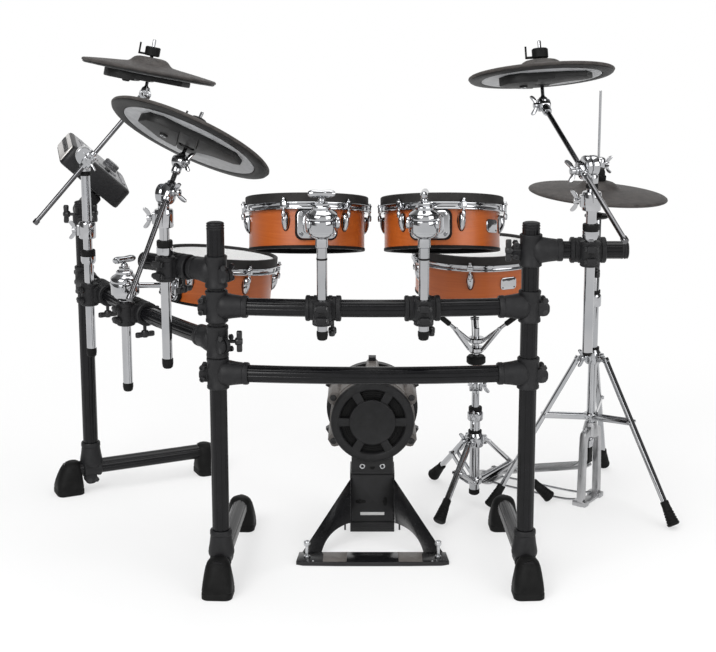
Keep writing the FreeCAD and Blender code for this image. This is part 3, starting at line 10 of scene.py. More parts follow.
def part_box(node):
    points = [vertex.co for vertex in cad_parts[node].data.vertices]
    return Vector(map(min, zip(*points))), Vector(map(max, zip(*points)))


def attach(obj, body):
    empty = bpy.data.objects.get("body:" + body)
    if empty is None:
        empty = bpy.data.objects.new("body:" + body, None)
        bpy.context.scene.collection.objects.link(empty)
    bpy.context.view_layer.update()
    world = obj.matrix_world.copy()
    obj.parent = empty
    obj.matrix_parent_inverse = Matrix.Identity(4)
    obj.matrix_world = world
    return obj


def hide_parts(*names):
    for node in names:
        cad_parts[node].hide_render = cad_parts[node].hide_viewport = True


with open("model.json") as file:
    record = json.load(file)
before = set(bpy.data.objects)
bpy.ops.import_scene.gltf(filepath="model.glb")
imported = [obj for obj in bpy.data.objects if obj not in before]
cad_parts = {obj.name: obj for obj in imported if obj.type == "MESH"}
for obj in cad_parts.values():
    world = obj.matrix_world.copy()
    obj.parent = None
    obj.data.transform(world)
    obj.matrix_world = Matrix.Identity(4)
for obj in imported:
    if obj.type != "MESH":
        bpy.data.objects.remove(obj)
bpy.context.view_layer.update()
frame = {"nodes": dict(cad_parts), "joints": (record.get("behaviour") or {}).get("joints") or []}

nodes = frame["nodes"]
joints = {joint["name"]: joint for joint in frame["joints"]}
MM = 0.001
STAND = "stand"
UP = Vector((0, 0, 1))
DOWN = Vector((0, 0, -1))
RIGHT = Vector((1, 0, 0))
BACK = Vector((0, 1, 0))
ORIGIN = (0, 0, 0)
HOME = Matrix.Identity(4)
SIDES = (-1, 1)
SIXTH = math.pi / 3
SMOOTH_ANGLE = 38


# Nodes
def wire(tree, kind, links=None, **settings):
    """Adds a node, sets it up and connects sockets or plain values to its inputs."""
    node = tree.nodes.new(kind)
    for name, value in settings.items():
        setattr(node, name, value)
    for name, source in (links or {}).items():
        if isinstance(source, bpy.types.NodeSocket):
            tree.links.new(source, node.inputs[name])
        else:
            node.inputs[name].default_value = source
    return node


def reckon(tree, operation, *values):
    """Result of one arithmetic step on sockets or plain numbers."""
    return wire(tree, "ShaderNodeMath", dict(enumerate(values)), operation=operation).outputs[0]


def spread(tree, value, start, end, low, high, kind="LINEAR"):
    """Carries a value between start and end over to low and high."""
    links = {"Value": value, "From Min": start, "From Max": end, "To Min": low, "To Max": high}
    return wire(tree, "ShaderNodeMapRange", links, interpolation_type=kind).outputs["Result"]


def blend(tree, factor, first, second):
    return wire(tree, "ShaderNodeMixShader", {"Fac": factor, 1: first, 2: second}).outputs["Shader"]


# Materials
def shader(name, base, roughness, metallic=0.0, coat=0.0, coat_roughness=0.12, shine=0.5):
    """A new material with its plain values set on the shader itself, and its node tree."""
    material = bpy.data.materials.new(name)
    material.use_nodes = True
    values = {"Base Color": (*base, 1), "Roughness": roughness, "Metallic": metallic, "Coat Weight": coat,
              "Coat Roughness": coat_roughness, "Specular IOR Level": shine}
    for label, value in values.items():
        material.node_tree.nodes["Principled BSDF"].inputs[label].default_value = value
    return material, material.node_tree


def feed(tree, source, label):
    """Connects a socket to an input of the material's shader."""
    tree.links.new(source, tree.nodes["Principled BSDF"].inputs[label])


def object_point(tree, scale=(1, 1, 1), place=None):
    """Object coordinates, stretched by scale or laid out in the frame of place."""
    links = {"Vector": wire(tree, "ShaderNodeTexCoord").outputs["Object"], "Scale": scale}
    if place:
        links.update({"Location": place.to_translation(), "Rotation": place.to_euler()})
    mapping = wire(tree, "ShaderNodeMapping", links, vector_type="TEXTURE" if place else "POINT")
    return mapping.outputs["Vector"]


def grain(tree, point, scale, detail=4.0, roughness=0.55):
    links = {"Vector": point, "Scale": scale, "Detail": detail, "Roughness": roughness}
    return wire(tree, "ShaderNodeTexNoise", links).outputs["Fac"]


def tint(tree, factor, dark, light, low=0.3, high=0.7):
    """Colour that runs from dark to light with the factor."""
    ramp = wire(tree, "ShaderNodeValToRGB", {"Fac": factor})
    for stop, position, colour in zip(ramp.color_ramp.elements, (low, high), (dark, light)):
        stop.position = position
        stop.color = (*colour, 1)
    feed(tree, ramp.outputs["Color"], "Base Color")


def gloss(tree, factor, smooth, rough):
    feed(tree, spread(tree, factor, 0.3, 0.7, smooth, rough), "Roughness")


def relief(tree, factor, strength, depth):
    bump = wire(tree, "ShaderNodeBump", {"Height": factor, "Strength": strength, "Distance": depth})
    feed(tree, bump.outputs["Normal"], "Normal")


MOTTLE = 0.06
GRAIN_DEPTH = 0.0003


def grained(name, dark, light, smooth, rough, scale, bump=0.0, **extra):
    """Moulded, coated or cast finish: mottled colour and gloss with a fine grain."""
    material, tree = shader(name, light, rough, **extra)
    point = object_point(tree)
    tint(tree, grain(tree, point, scale * MOTTLE), dark, light)
    fine = grain(tree, point, scale, 3.0)
    gloss(tree, fine, smooth, rough)
    if bump:
        relief(tree, fine, bump, GRAIN_DEPTH)
    return material


def amber_wood():
    """Stained shell: long horizontal figure under a satin lacquer."""
    material, tree = shader("amber_wood", (0.52, 0.125, 0.016), 0.38, coat=0.2, coat_roughness=0.25,
                            shine=0.35)
    figure = grain(tree, object_point(tree, (9, 9, 260)), 1.0, 8.0, 0.62)
    tint(tree, figure, (0.33, 0.067, 0.009), (0.43, 0.102, 0.016), 0.25, 0.75)
    gloss(tree, figure, 0.28, 0.42)
    relief(tree, figure, 0.08, 0.0004)
    return material


def woven_mesh():
    """Two-ply head: fine crossed threads."""
    material, tree = shader("woven_mesh", (0.74, 0.74, 0.73), 0.62)
    links = {"Vector": object_point(tree, (1, 1, 0.4)), "Scale": 160}
    threads = [wire(tree, "ShaderNodeTexWave", links, bands_direction=way).outputs["Fac"] for way in "XY"]
    weave = reckon(tree, "MULTIPLY", *threads)
    tint(tree, weave, (0.60, 0.60, 0.60), (0.80, 0.80, 0.79), 0.0, 0.5)
    relief(tree, weave, 0.25, 0.0004)
    return material


def pad_rubber(name, place):
    """Rubber pad with fine lathe rings about its own axis."""
    material, tree = shader(name, (0.055, 0.049, 0.045), 0.62, shine=0.3)
    mottle = grain(tree, object_point(tree), 55, 5.0)
    tint(tree, mottle, (0.030, 0.027, 0.026), (0.059, 0.052, 0.048))
    links = {"Vector": object_point(tree, place=place), "Scale": 95}
    rings = wire(tree, "ShaderNodeTexWave", links, wave_type="RINGS", rings_direction="Z").outputs["Fac"]
    gloss(tree, rings, 0.52, 0.68)
    relief(tree, rings, 0.35, 0.0005)
    return material


def brushed(name, dark, light, stretch):
    """Metal with drawn lines along the direction of the smallest stretch."""
    material, tree = shader(name, light, 0.3, metallic=1.0)
    lines = grain(tree, object_point(tree, stretch), 1.0, 5.0)
    tint(tree, lines, dark, light)
    gloss(tree, lines, 0.20, 0.38)
    relief(tree, lines, 0.06, 0.0002)
    return material


RACK_COAT = grained("rack_coat", (0.0035, 0.0035, 0.004), (0.006, 0.006, 0.007), 0.16, 0.25, 700, shine=0.22)
JOINT_PLASTIC = grained("joint_plastic", (0.007, 0.007, 0.008), (0.012, 0.012, 0.013), 0.46, 0.62, 1400, 0.12,
                        shine=0.3)
BLACK_RUBBER = grained("black_rubber", (0.003, 0.003, 0.003), (0.007, 0.007, 0.007), 0.50, 0.70, 900, 0.15,
                       shine=0.16)
RIM_RUBBER = grained("rim_rubber", (0.012, 0.011, 0.011), (0.020, 0.019, 0.018), 0.55, 0.70, 700, 0.10,
                     shine=0.25)
CHROME = grained("chrome", (0.38, 0.39, 0.405), (0.47, 0.47, 0.48), 0.04, 0.11, 160, metallic=1.0)
BOOM_STEEL = grained("boom_steel", (0.10, 0.10, 0.105), (0.17, 0.17, 0.175), 0.16, 0.28, 260, metallic=1.0)
AMBER_WOOD = amber_wood()
WOVEN_MESH = woven_mesh()
TRIGGER_PLASTIC = grained("trigger_plastic", (0.006, 0.006, 0.006), (0.011, 0.011, 0.011), 0.45, 0.60, 1100,
                          0.10, shine=0.3)
PLATE_PLASTIC = grained("plate_plastic", (0.27, 0.275, 0.285), (0.37, 0.375, 0.385), 0.34, 0.50, 900, 0.05)
GLOSS_BLACK = grained("gloss_black", (0.003, 0.003, 0.0035), (0.006, 0.006, 0.007), 0.14, 0.28, 300,
                      shine=0.45)
TOWER_BLACK = grained("tower_black", (0.005, 0.005, 0.0055), (0.009, 0.009, 0.010), 0.34, 0.50, 900, 0.06,
                      shine=0.35)
KICK_PLASTIC = grained("kick_plastic", (0.085, 0.076, 0.070), (0.130, 0.118, 0.109), 0.36, 0.54, 800, 0.08)
COVER_PLASTIC = grained("cover_plastic", (0.006, 0.006, 0.0065), (0.011, 0.011, 0.012), 0.42, 0.58, 1200,
                        0.08, shine=0.3)
CAST_METAL = grained("cast_metal", (0.36, 0.365, 0.37), (0.49, 0.49, 0.50), 0.26, 0.42, 500, 0.15,
                     metallic=1.0)
BOLT_STEEL = brushed("bolt_steel", (0.48, 0.49, 0.51), (0.70, 0.71, 0.72), (60, 60, 900))
DARK_BOLT = grained("dark_bolt", (0.008, 0.008, 0.009), (0.018, 0.018, 0.019), 0.30, 0.45, 600, shine=0.4)
MODULE_PLASTIC = grained("module_plastic", (0.006, 0.006, 0.007), (0.011, 0.011, 0.012), 0.42, 0.56, 1300,
                         0.10, shine=0.3)
MODULE_SILVER = grained("module_silver", (0.50, 0.48, 0.46), (0.62, 0.60, 0.58), 0.30, 0.42, 600,
                        metallic=0.8)
DIAL_PLASTIC = grained("dial_plastic", (0.05, 0.05, 0.055), (0.085, 0.085, 0.09), 0.24, 0.36, 700, 0.04)
SCREEN_GLASS = grained("screen_glass", (0.006, 0.008, 0.011), (0.011, 0.014, 0.018), 0.04, 0.09, 60, coat=0.8)
KEY_RUBBER = grained("key_rubber", (0.22, 0.22, 0.23), (0.30, 0.30, 0.31), 0.45, 0.60, 900, 0.05)
PALE_PLATE = grained("pale_plate", (0.60, 0.60, 0.60), (0.72, 0.72, 0.71), 0.35, 0.50, 500)


# Shapes
def placed(at, z_axis=UP, x_axis=None):
    """Frame at a point with Z along z_axis and X as near to x_axis as it can be."""
    z = Vector(z_axis).normalized()
    x = Vector(x_axis) if x_axis else (RIGHT if abs(z.x) < 0.9 else BACK)
    x = (x - z * x.dot(z)).normalized()
    matrix = Matrix((x, z.cross(x), z)).transposed().to_4x4()
    matrix.translation = Vector(at)
    return matrix


def turned(place, angle):
    return place @ Matrix.Rotation(angle, 4, "Z")


def shifted(place, x=0.0, y=0.0, z=0.0):
    return place @ Matrix.Translation((x, y, z))


def raised(point, height):
    """The point's place in plan, at a height in millimetres."""
    return Vector((point.x, point.y, height * MM))


def level_way(angle):
    return Vector((math.cos(math.radians(angle)), math.sin(math.radians(angle)), 0))


def lean(back, right):
    x, y = math.sin(math.radians(right)), math.sin(math.radians(back))
    return Vector((x, y, math.sqrt(1 - x * x - y * y)))


def facing(foot, height, heading, reach):
    """Frame beside an upright axis, reach metres out, with Z outwards and X up."""
    way = level_way(heading)
    return placed(raised(foot, height) + way * reach, way, UP)


def offset(profile, wider=0.0, higher=0.0):
    return [(radius + wider, height + higher) for radius, height in profile]


def twofold(upper, middle=()):
    """Profile or outline that is the same above and below zero, from its upper half."""
    return [(x, -y) for x, y in upper[::-1]] + [*middle, *upper]


def mirrored(right, middle=()):
    """Outline that is the same left and right of zero, from its right half."""
    return [*right, *middle] + [(-x, y) for x, y in right[::-1]]


def round_section(radius, steps=20):
    return [(radius * math.cos(2 * math.pi * k / steps), radius * math.sin(2 * math.pi * k / steps))
            for k in range(steps)]


def rounded_plate(width, height, corner, steps=6):
    """Outline of a rectangle with round corners."""
    outline = []
    for sx, sy, start in ((1, 1, 0), (-1, 1, 90), (-1, -1, 180), (1, -1, 270)):
        for step in range(steps + 1):
            angle = math.radians(start + 90 * step / steps)
            outline.append((sx * (width / 2 - corner) + corner * math.cos(angle),
                            sy * (height / 2 - corner) + corner * math.sin(angle)))
    return outline


def flat_section(width, thick, soft):
    return rounded_plate(width, thick, soft, 2)


def smooth_path(corners, steps=14):
    """Curve through the corners in metres."""
    spots = [Vector(corner) for corner in corners]
    spots = [spots[0] * 2 - spots[1]] + spots + [spots[-1] * 2 - spots[-2]]
    path = []
    for a, b, c, d in zip(spots, spots[1:], spots[2:], spots[3:]):
        for step in range(steps):
            t = step / steps
            path.append(0.5 * (2 * b + (c - a) * t + (2 * a - 5 * b + 4 * c - d) * t * t
                               + (3 * b - a - 3 * c + d) * t ** 3))
    return path + [spots[-2]]


class Work:
    """Closed shapes gathered into one mesh. Sizes are in millimetres, places in metres."""

    def __init__(self):
        self.points = []
        self.faces = []

    def add(self, points, faces, place):
        start = len(self.points)
        self.points += [place @ (Vector(point) * MM) for point in points]
        self.faces += [[start + index for index in face] for face in faces]
        return self

    def lathe(self, place, profile, steps=40, loop=False):
        """Turned shape; profile lists (radius, height), from pole to pole or round a ring's section."""
        points, rows = [], []
        for radius, height in profile:
            ring = [(0, 0)] if radius < 1e-6 else round_section(radius, steps)
            rows.append(list(range(len(points), len(points) + len(ring))))
            points += [(x, y, height) for x, y in ring]
        faces = []
        pairs = list(zip(rows, rows[1:])) + ([(rows[-1], rows[0])] if loop else [])
        for low, high in pairs:
            for step in range(steps):
                after = (step + 1) % steps
                corners = [low[step % len(low)], low[after % len(low)],
                           high[after % len(high)], high[step % len(high)]]
                faces.append(list(dict.fromkeys(corners)))
        return self.add(points, [face for face in faces if len(face) > 2], place)

    def drum(self, place, radius, bottom, top, soft=0.8, steps=40):
        """Round block with softened edges."""
        profile = [(0, bottom), (radius - soft, bottom), (radius - soft * 0.3, bottom + soft * 0.3),
                   (radius, bottom + soft), (radius, top - soft), (radius - soft * 0.3, top - soft * 0.3),
                   (radius - soft, top), (0, top)]
        return self.lathe(place, profile, steps)

    def hoop(self, place, inner, outer, bottom, top, steps=36, inset=0.0, drop=0.0):
        """Ring, plain or with its outer edges cut back by inset and drop."""
        edge = [(outer, bottom), (outer, top)]
        if inset:
            edge = [(outer - inset, bottom), (outer, bottom + drop),
                    (outer, top - drop), (outer - inset, top)]
        return self.lathe(place, [(inner, bottom), *edge, (inner, top)], steps, True)

    def slab(self, place, size, soft=1.0):
        """Block about its middle with bevelled edges."""
        block = bmesh.new()
        bmesh.ops.create_cube(block, size=1.0)
        bmesh.ops.scale(block, vec=size, verts=block.verts)
        return self.take(block, place, block.edges[:], soft)

    def prism(self, place, outline, height, soft):
        """Flat outline in the XY plane raised by height, with its edges bevelled."""
        block = bmesh.new()
        face = block.faces.new([block.verts.new((x, y, 0)) for x, y in outline])
        made = bmesh.ops.extrude_face_region(block, geom=[face])
        lifted = [item for item in made["geom"] if isinstance(item, bmesh.types.BMVert)]
        bmesh.ops.translate(block, vec=(0, 0, height), verts=lifted)
        rims = [edge for edge in block.edges if abs(edge.verts[0].co.z - edge.verts[1].co.z) < 1e-6]
        return self.take(block, place, rims, soft)

    def plate(self, place, size, height, soft):
        """Flat block with round corners; size is width, length and corner radius."""
        return self.prism(place, rounded_plate(*size), height, soft)

    def take(self, block, place, edges, soft):
        """Bevels a block's edges and adds it."""
        bmesh.ops.bevel(block, geom=edges, offset=soft, segments=2, affect="EDGES", profile=0.5)
        block.verts.index_update()
        points = [vert.co.copy() for vert in block.verts]
        faces = [[vert.index for vert in face.verts] for face in block.faces]
        block.free()
        return self.add(points, faces, place)

    def skin(self, place, points, count):
        """Closed skin over rows of count points each."""
        last = len(points) - count
        faces = []
        for low in range(0, last, count):
            for step in range(count):
                after = (step + 1) % count
                faces.append([low + step, low + after, low + count + after, low + count + step])
        faces += [list(range(count))[::-1], list(range(last, last + count))]
        return self.add(points, faces, place)

    def sweep(self, path, section, side=None):
        """Section (across, out) carried along a path in metres; side keeps its first axis level."""
        points = []
        across = side
        for index, spot in enumerate(path):
            before, after = path[max(index - 1, 0)], path[min(index + 1, len(path) - 1)]
            way = (after - before).normalized()
            across = side or across or placed(ORIGIN, way).col[0].to_3d()
            across = (across - way * across.dot(way)).normalized()
            out = way.cross(across)
            points += [spot / MM + across * a + out * o for a, o in section]
        return self.skin(HOME, points, len(section))

    def bar(self, start, end, radius, steps=20):
        return self.sweep([Vector(start), Vector(end)], round_section(radius, steps))

    def ball(self, place, radius, steps=32):
        arc = [(radius * math.sin(math.pi * k / 16), -radius * math.cos(math.pi * k / 16)) for k in range(17)]
        arc[0], arc[-1] = (0, -radius), (0, radius)
        return self.lathe(place, arc, steps)


def mesh_of(name, work, material, angle=SMOOTH_ANGLE):
    mesh = bpy.data.meshes.new(name)
    mesh.from_pydata([tuple(point) for point in work.points], [], work.faces)
    outward = bmesh.new()
    outward.from_mesh(mesh)
    bmesh.ops.recalc_face_normals(outward, faces=outward.faces)
    outward.to_mesh(mesh)
    outward.free()
    mesh.shade_smooth()
    mesh.set_sharp_from_angle(angle=math.radians(angle))
    mesh.materials.append(material)
    return mesh


def shown(name, mesh, body, replaced=()):
    item = bpy.data.objects.new(name, mesh)
    bpy.context.scene.collection.objects.link(item)
    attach(item, body)
    if replaced:
        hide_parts(*replaced)


def piece(name, work, material, body, replaced=(), angle=SMOOTH_ANGLE):
    shown(name, mesh_of(name, work, material, angle), body, replaced)


def dress(name, material):
    """Gives a plain solid its finish."""
    mesh = nodes[name].data
    mesh.materials.clear()
    mesh.materials.append(material)


# Geometry node trees
def new_tree(name, inputs):
    """Tree with these inputs beside the geometry and the finish; gives its inputs and a way to end it."""
    tree = bpy.data.node_groups.new(name, "GeometryNodeTree")
    tree.interface.new_socket("Geometry", in_out="INPUT", socket_type="NodeSocketGeometry")
    for label, kind in (*inputs, ("Finish", "NodeSocketMaterial")):
        tree.interface.new_socket(label, in_out="INPUT", socket_type=kind)
    tree.interface.new_socket("Geometry", in_out="OUTPUT", socket_type="NodeSocketGeometry")
    given = wire(tree, "NodeGroupInput").outputs

    def finish(made):
        solid = wire(tree, "GeometryNodeRealizeInstances", {"Geometry": made.outputs[0]}).outputs[0]
        coated = wire(tree, "GeometryNodeSetMaterial", {"Geometry": solid, "Material": given["Finish"]})
        wire(tree, "NodeGroupOutput", {"Geometry": coated.outputs[0]})
        return tree

    return tree, given, finish


def repeat_tree():
    """Copies of one shape, each moved on by Step and turned on by Turn about Z."""
    tree, given, finish = new_tree("repeat", (("Shape", "NodeSocketObject"), ("Count", "NodeSocketInt"),
                                              ("Turn", "NodeSocketFloat"), ("Step", "NodeSocketVector")))
    spots = wire(tree, "GeometryNodePoints", {"Count": given["Count"]})
    index = wire(tree, "GeometryNodeInputIndex").outputs[0]
    way = wire(tree, "ShaderNodeVectorMath", {0: given["Step"], "Scale": index}, operation="SCALE")
    moved = wire(tree, "GeometryNodeSetPosition", {"Geometry": spots.outputs[0], "Offset": way.outputs[0]})
    spin = wire(tree, "ShaderNodeCombineXYZ", {"Z": reckon(tree, "MULTIPLY", given["Turn"], index)})
    shape = wire(tree, "GeometryNodeObjectInfo", {"Object": given["Shape"]})
    links = {"Points": moved.outputs[0], "Instance": shape.outputs["Geometry"], "Rotation": spin.outputs[0]}
    return finish(wire(tree, "GeometryNodeInstanceOnPoints", links))


def flute_tree():
    """Tubes along curves, with narrow lengthwise grooves round the outside."""
    tree, given, finish = new_tree("flutes", (("Radius", "NodeSocketFloat"), ("Grooves", "NodeSocketInt"),
                                              ("Depth", "NodeSocketFloat")))
    steps = 8
    count = reckon(tree, "MULTIPLY", given["Grooves"], steps)
    circle = wire(tree, "GeometryNodeCurvePrimitiveCircle", {"Resolution": count, "Radius": given["Radius"]})
    index = wire(tree, "GeometryNodeInputIndex").outputs[0]
    groove = reckon(tree, "LESS_THAN", reckon(tree, "MODULO", index, steps), 0.5)
    share = reckon(tree, "DIVIDE", given["Depth"], given["Radius"])
    inward = reckon(tree, "MULTIPLY", reckon(tree, "MULTIPLY", share, groove), -1.0)
    spot = wire(tree, "GeometryNodeInputPosition").outputs[0]
    pull = wire(tree, "ShaderNodeVectorMath", {0: spot, "Scale": inward}, operation="SCALE").outputs[0]
    profile = wire(tree, "GeometryNodeSetPosition", {"Geometry": circle.outputs[0], "Offset": pull})
    links = {"Curve": given["Geometry"], "Profile Curve": profile.outputs[0], "Fill Caps": True}
    return finish(wire(tree, "GeometryNodeCurveToMesh", links))


REPEAT = repeat_tree()
FLUTES = flute_tree()


def grown(name, data, tree, material, values):
    """Plain mesh that a tree makes from a mesh or curve with these input values."""
    holder = bpy.data.objects.new(name + "_holder", data)
    bpy.context.scene.collection.objects.link(holder)
    modifier = holder.modifiers.new("grow", "NODES")
    modifier.node_group = tree
    names = {item.name: item.identifier for item in tree.interface.items_tree if item.in_out == "INPUT"}
    for label, value in {**values, "Finish": material}.items():
        modifier[names[label]] = value
    bpy.context.view_layer.update()
    graph = bpy.context.evaluated_depsgraph_get()
    mesh = bpy.data.meshes.new_from_object(holder.evaluated_get(graph))
    holder.modifiers.remove(modifier)
    bpy.data.objects.remove(holder)
    store = bpy.data.meshes if isinstance(data, bpy.types.Mesh) else bpy.data.curves
    store.remove(data)
    mesh.name = name
    mesh.materials.clear()
    mesh.materials.append(material)
    return mesh


def repeated(name, work, material, body, count, place, turn=0.0, step=(0, 0, 0)):
    """One shape shown count times in the frame of place; step is in millimetres."""
    model = bpy.data.objects.new(name + "_model", mesh_of(name + "_model", work, material))
    bpy.context.scene.collection.objects.link(model)
    mesh = grown(name, bpy.data.meshes.new(name + "_holder"), REPEAT, material,
                 {"Shape": model, "Count": count, "Turn": turn, "Step": tuple(value * MM for value in step)})
    bpy.data.objects.remove(model)
    mesh.transform(place)
    shown(name, mesh, body)


# Parts that recur
WING_EAR = [(3, 0.5), (8, 2), (15, 4.5), (20.5, 9), (23, 14), (22, 18), (18.5, 19), (13, 15), (8, 11),
            (3, 10)]


def wing_nut(work, place, scale=1.0, thick=4.5):
    """Hub with two raised ears; place has Z along the screw and X across the ears."""
    work.drum(place, 6.5 * scale, 0, 11 * scale, 1.2, 24)
    for side in (0, math.pi):
        ear = turned(place, side) @ Matrix.Rotation(math.pi / 2, 4, "X")
        outline = [(x * scale, y * scale) for x, y in WING_EAR]
        work.prism(shifted(ear, z=-thick / 2 * MM), outline, thick, 1.2)


def hex_head(work, place, across, height):
    work.prism(place, round_section(across, 6), height, 0.6)


def socket_head(work, place, radius, height):
    """Round screw head with a sunk middle."""
    profile = [(0, 0), (radius, 0), (radius, height - 0.8), (radius - 0.8, height), (radius * 0.55, height),
               (radius * 0.5, height * 0.45), (0, height * 0.45)]
    work.lathe(place, profile, 24)


def four_corners(x, y):
    """Corners of a plate in metres, from half sizes in millimetres."""
    return [(side * x * MM, rise * y * MM) for side in SIDES for rise in SIDES]


# Drum pads: rim centre in metres, lean back and to the right in degrees, radius in millimetres
DEPTH = 118
DRUMS = {
    "tom_left": (Vector((-0.146, 0.010, 0.8515)), (14.5, 0), 127.0),
    "tom_right": (Vector((0.1525, 0.010, 0.8515)), (14.5, 0), 127.0),
    "floor_tom": (Vector((-0.361, 0.260, 0.677)), (5, 5.5), 127.0),
    "snare": (Vector((0.260, 0.385, 0.671)), (0, 0), 152.4),
}
BADGES = {"tom_right": -36, "snare": -65}
HOOP_LOW = 82
SHELL_STEPS = 96
LUG_COUNT, LUG_START = 6, math.radians(30)


def drum_pivot(name):
    return Vector(joints[f"{name}_tilt"]["pos_m"])


def drum_place(name):
    """Frame at the middle of a shell's lower edge, X towards its bracket, Z out of its head."""
    centre, (back, right), radius = DRUMS[name]
    normal = lean(back, right)
    towards = level_way(-70) if name == "snare" else drum_pivot(name) - centre
    return placed(centre - normal * DEPTH * MM, normal, towards), radius


def double_hoop(place, radius):
    """Hoop with an upper and a lower flange."""
    upper = [(4.2, 2.45), (4.8, 3.65), (10.4, 4.45), (11, 5.25), (11, 6.85), (10.4, 7.65), (1.6, 7.65)]
    return Work().lathe(place, offset(twofold(upper), radius, HOOP_LOW + 8.15), SHELL_STEPS, True)


LUG_ROWS = ((36.5, 1.2, 2), (38.5, 3.4, 5), (42, 5.6, 8), (48, 7.6, 11), (55, 8.8, 13.2), (62, 9.0, 14),
            (68, 8.6, 13.2), (72, 7.6, 11.6), (74.8, 6.4, 9.6), (75.8, 5.2, 8.2))


def lug_shape(radius):
    """Pointed drop, swivel nut, tension rod, hook over the hoop and square-headed screw."""
    count = 13
    points = []
    for height, wide, deep in LUG_ROWS:
        for step in range(count):
            angle = math.radians(-90 + 180 * step / (count - 1))
            points.append((radius - 0.5 + deep * math.cos(angle), wide * math.sin(angle), height))
    work = Work().skin(HOME, points, count)
    screw = Matrix.Translation(((radius + 14.2) * MM, 0, 0))
    work.lathe(screw, [(0, 66), (3.4, 66), (4.6, 70), (4.6, 77), (3.2, 79.5), (0, 79.5)], 16)
    work.drum(screw, 2.7, 78, HOOP_LOW + 6, 0.3, 14)
    hook = Matrix.Translation(((radius + 11.8) * MM, 0, (HOOP_LOW + 9.6) * MM))
    work.slab(hook, (10.5, 15, 15.5), 2.2)
    work.drum(shifted(hook, x=0.0024), 5.2, 6, 10.2, 0.8, 20)
    work.slab(shifted(hook, x=0.0024, z=0.0122), (6, 6, 5), 0.7)
    return work


def lug_gasket(radius):
    """Dark oval seat of a lug on the shell."""
    outline = [(10 * math.cos(math.radians(a)) * (1 if a <= 180 else 0.92), 21 * math.sin(math.radians(a)))
               for a in range(0, 360, 15)]
    return Work().prism(placed(((radius - 1.2) * MM, 0, 0.0565), RIGHT, BACK), outline, 2.6, 0.5)


def drum_bracket(name, place, radius):
    """Plate with a raised boss, the rod and the ball that the clamp grips."""
    spot = place.inverted() @ drum_pivot(name)
    face = shifted(place, z=spot.z) @ placed(ORIGIN, RIGHT, BACK)
    gasket = Work().plate(shifted(face, z=(radius - 6.5) * MM), (91, 67, 15), 9.5, 1.0)
    metal = Work().plate(shifted(face, z=(radius - 3) * MM), (86, 62, 14), 10.5, 3.0)
    metal.plate(shifted(face, z=(radius + 6) * MM), (60, 42, 10), 6.5, 2.5)
    for x, y in four_corners(34, 22):
        socket_head(metal, shifted(face, x, y, (radius + 6) * MM), 4.6, 4)
    reach = spot.x / MM
    boss = offset([(0, 8), (17, 8), (15.5, 16), (10.5, 20), (6.5, 22)], higher=radius)
    metal.lathe(face, boss + [(6.5, reach), (0, reach)], 28)
    metal.ball(placed(drum_pivot(name)), 15)
    return gasket, metal


def badge(name, place, radius, bearing):
    """Blank plate with a screw in each corner, on the shell at a bearing in the floor plane."""
    local = place.inverted().to_3x3() @ level_way(bearing)
    face = turned(place, math.atan2(local.y, local.x)) @ placed((0, 0, 0.050), RIGHT, BACK)
    plate = Work().plate(shifted(face, z=(radius - 1.2) * MM), (42, 29, 8), 3.2, 0.8)
    pins = Work()
    for x, y in four_corners(15.5, 9.5):
        pins.drum(shifted(face, x, y, (radius + 1.6) * MM), 1.7, 0, 1.2, 0.3, 12)
    piece(f"{name}_blank_badge", plate, CHROME, name)
    piece(f"{name}_badge_pins", pins, DARK_BOLT, name)


DRUM_FINISH = {"shell": AMBER_WOOD, "head": WOVEN_MESH, "rim": RIM_RUBBER, "sensor": TRIGGER_PLASTIC}
LOWER_EDGE = [(-13, -0.6), (0.6, -0.6), (1.4, 0.2), (1.4, 5), (0.6, 5.8), (-7, 5.8), (-7.2, 104), (-8.4, 104),
              (-8.4, 5), (-13, 3)]


def dress_drum(name):
    """Finishes of a pad's solids, its hoop, lower edge and lining, lugs, bracket and badge."""
    place, radius = drum_place(name)
    for part, material in DRUM_FINISH.items():
        dress(f"{name}_{part}", material)
    piece(f"{name}_double_hoop", double_hoop(place, radius), CHROME, name, [f"{name}_hardware"], 30)
    lower = Work().lathe(place, offset(LOWER_EDGE, radius), SHELL_STEPS, True)
    piece(f"{name}_lower_edge", lower, BLACK_RUBBER, name)
    start = turned(place, LUG_START)
    repeated(f"{name}_lugs", lug_shape(radius), CHROME, name, LUG_COUNT, start, SIXTH)
    repeated(f"{name}_lug_seats", lug_gasket(radius), BLACK_RUBBER, name, LUG_COUNT, start,
             SIXTH)
    if name != "snare":
        gasket, metal = drum_bracket(name, place, radius)
        piece(f"{name}_bracket_seat", gasket, BLACK_RUBBER, name)
        piece(f"{name}_bracket", metal, CHROME, name)
    if name in BADGES:
        badge(name, place, radius, BADGES[name])


# Tom arms: tube bottom in millimetres, turn of the handle in degrees
TUBE_BOTTOMS = {"tom_left": 585, "tom_right": 585, "floor_tom": 381}
HANDLE_TURNS = {"tom_left": 0, "tom_right": 84, "floor_tom": 40}
HALF_HANDLE = [(7.6, 8), (8.2, 17), (7.2, 24), (4.5, 28.4), (0, 29.5)]


def notched_barrel(radius, notch, depth):
    """Round outline with a slot open to +X."""
    start = math.degrees(math.asin(notch / radius))
    outline = [(depth, notch)]
    for step in range(45):
        angle = math.radians(start + (360 - 2 * start) * step / 44)
        outline.append((radius * math.cos(angle), radius * math.sin(angle)))
    return outline + [(depth, -notch)]


def t_handle(half, wide):
    """Outline of a flat cross bar, waisted at its middle, with round ends."""
    outline = []
    for side in (1, -1):
        for step in range(9):
            angle = math.radians(-90 + 180 * step / 8)
            outline.append((side * (half - wide + wide * math.cos(angle)), side * wide * math.sin(angle)))
        for along, share in ((9, 0.72), (4, 0.9), (-4, 0.9), (-9, 0.72)):
            outline.append((side * along, side * wide * share))
    return outline


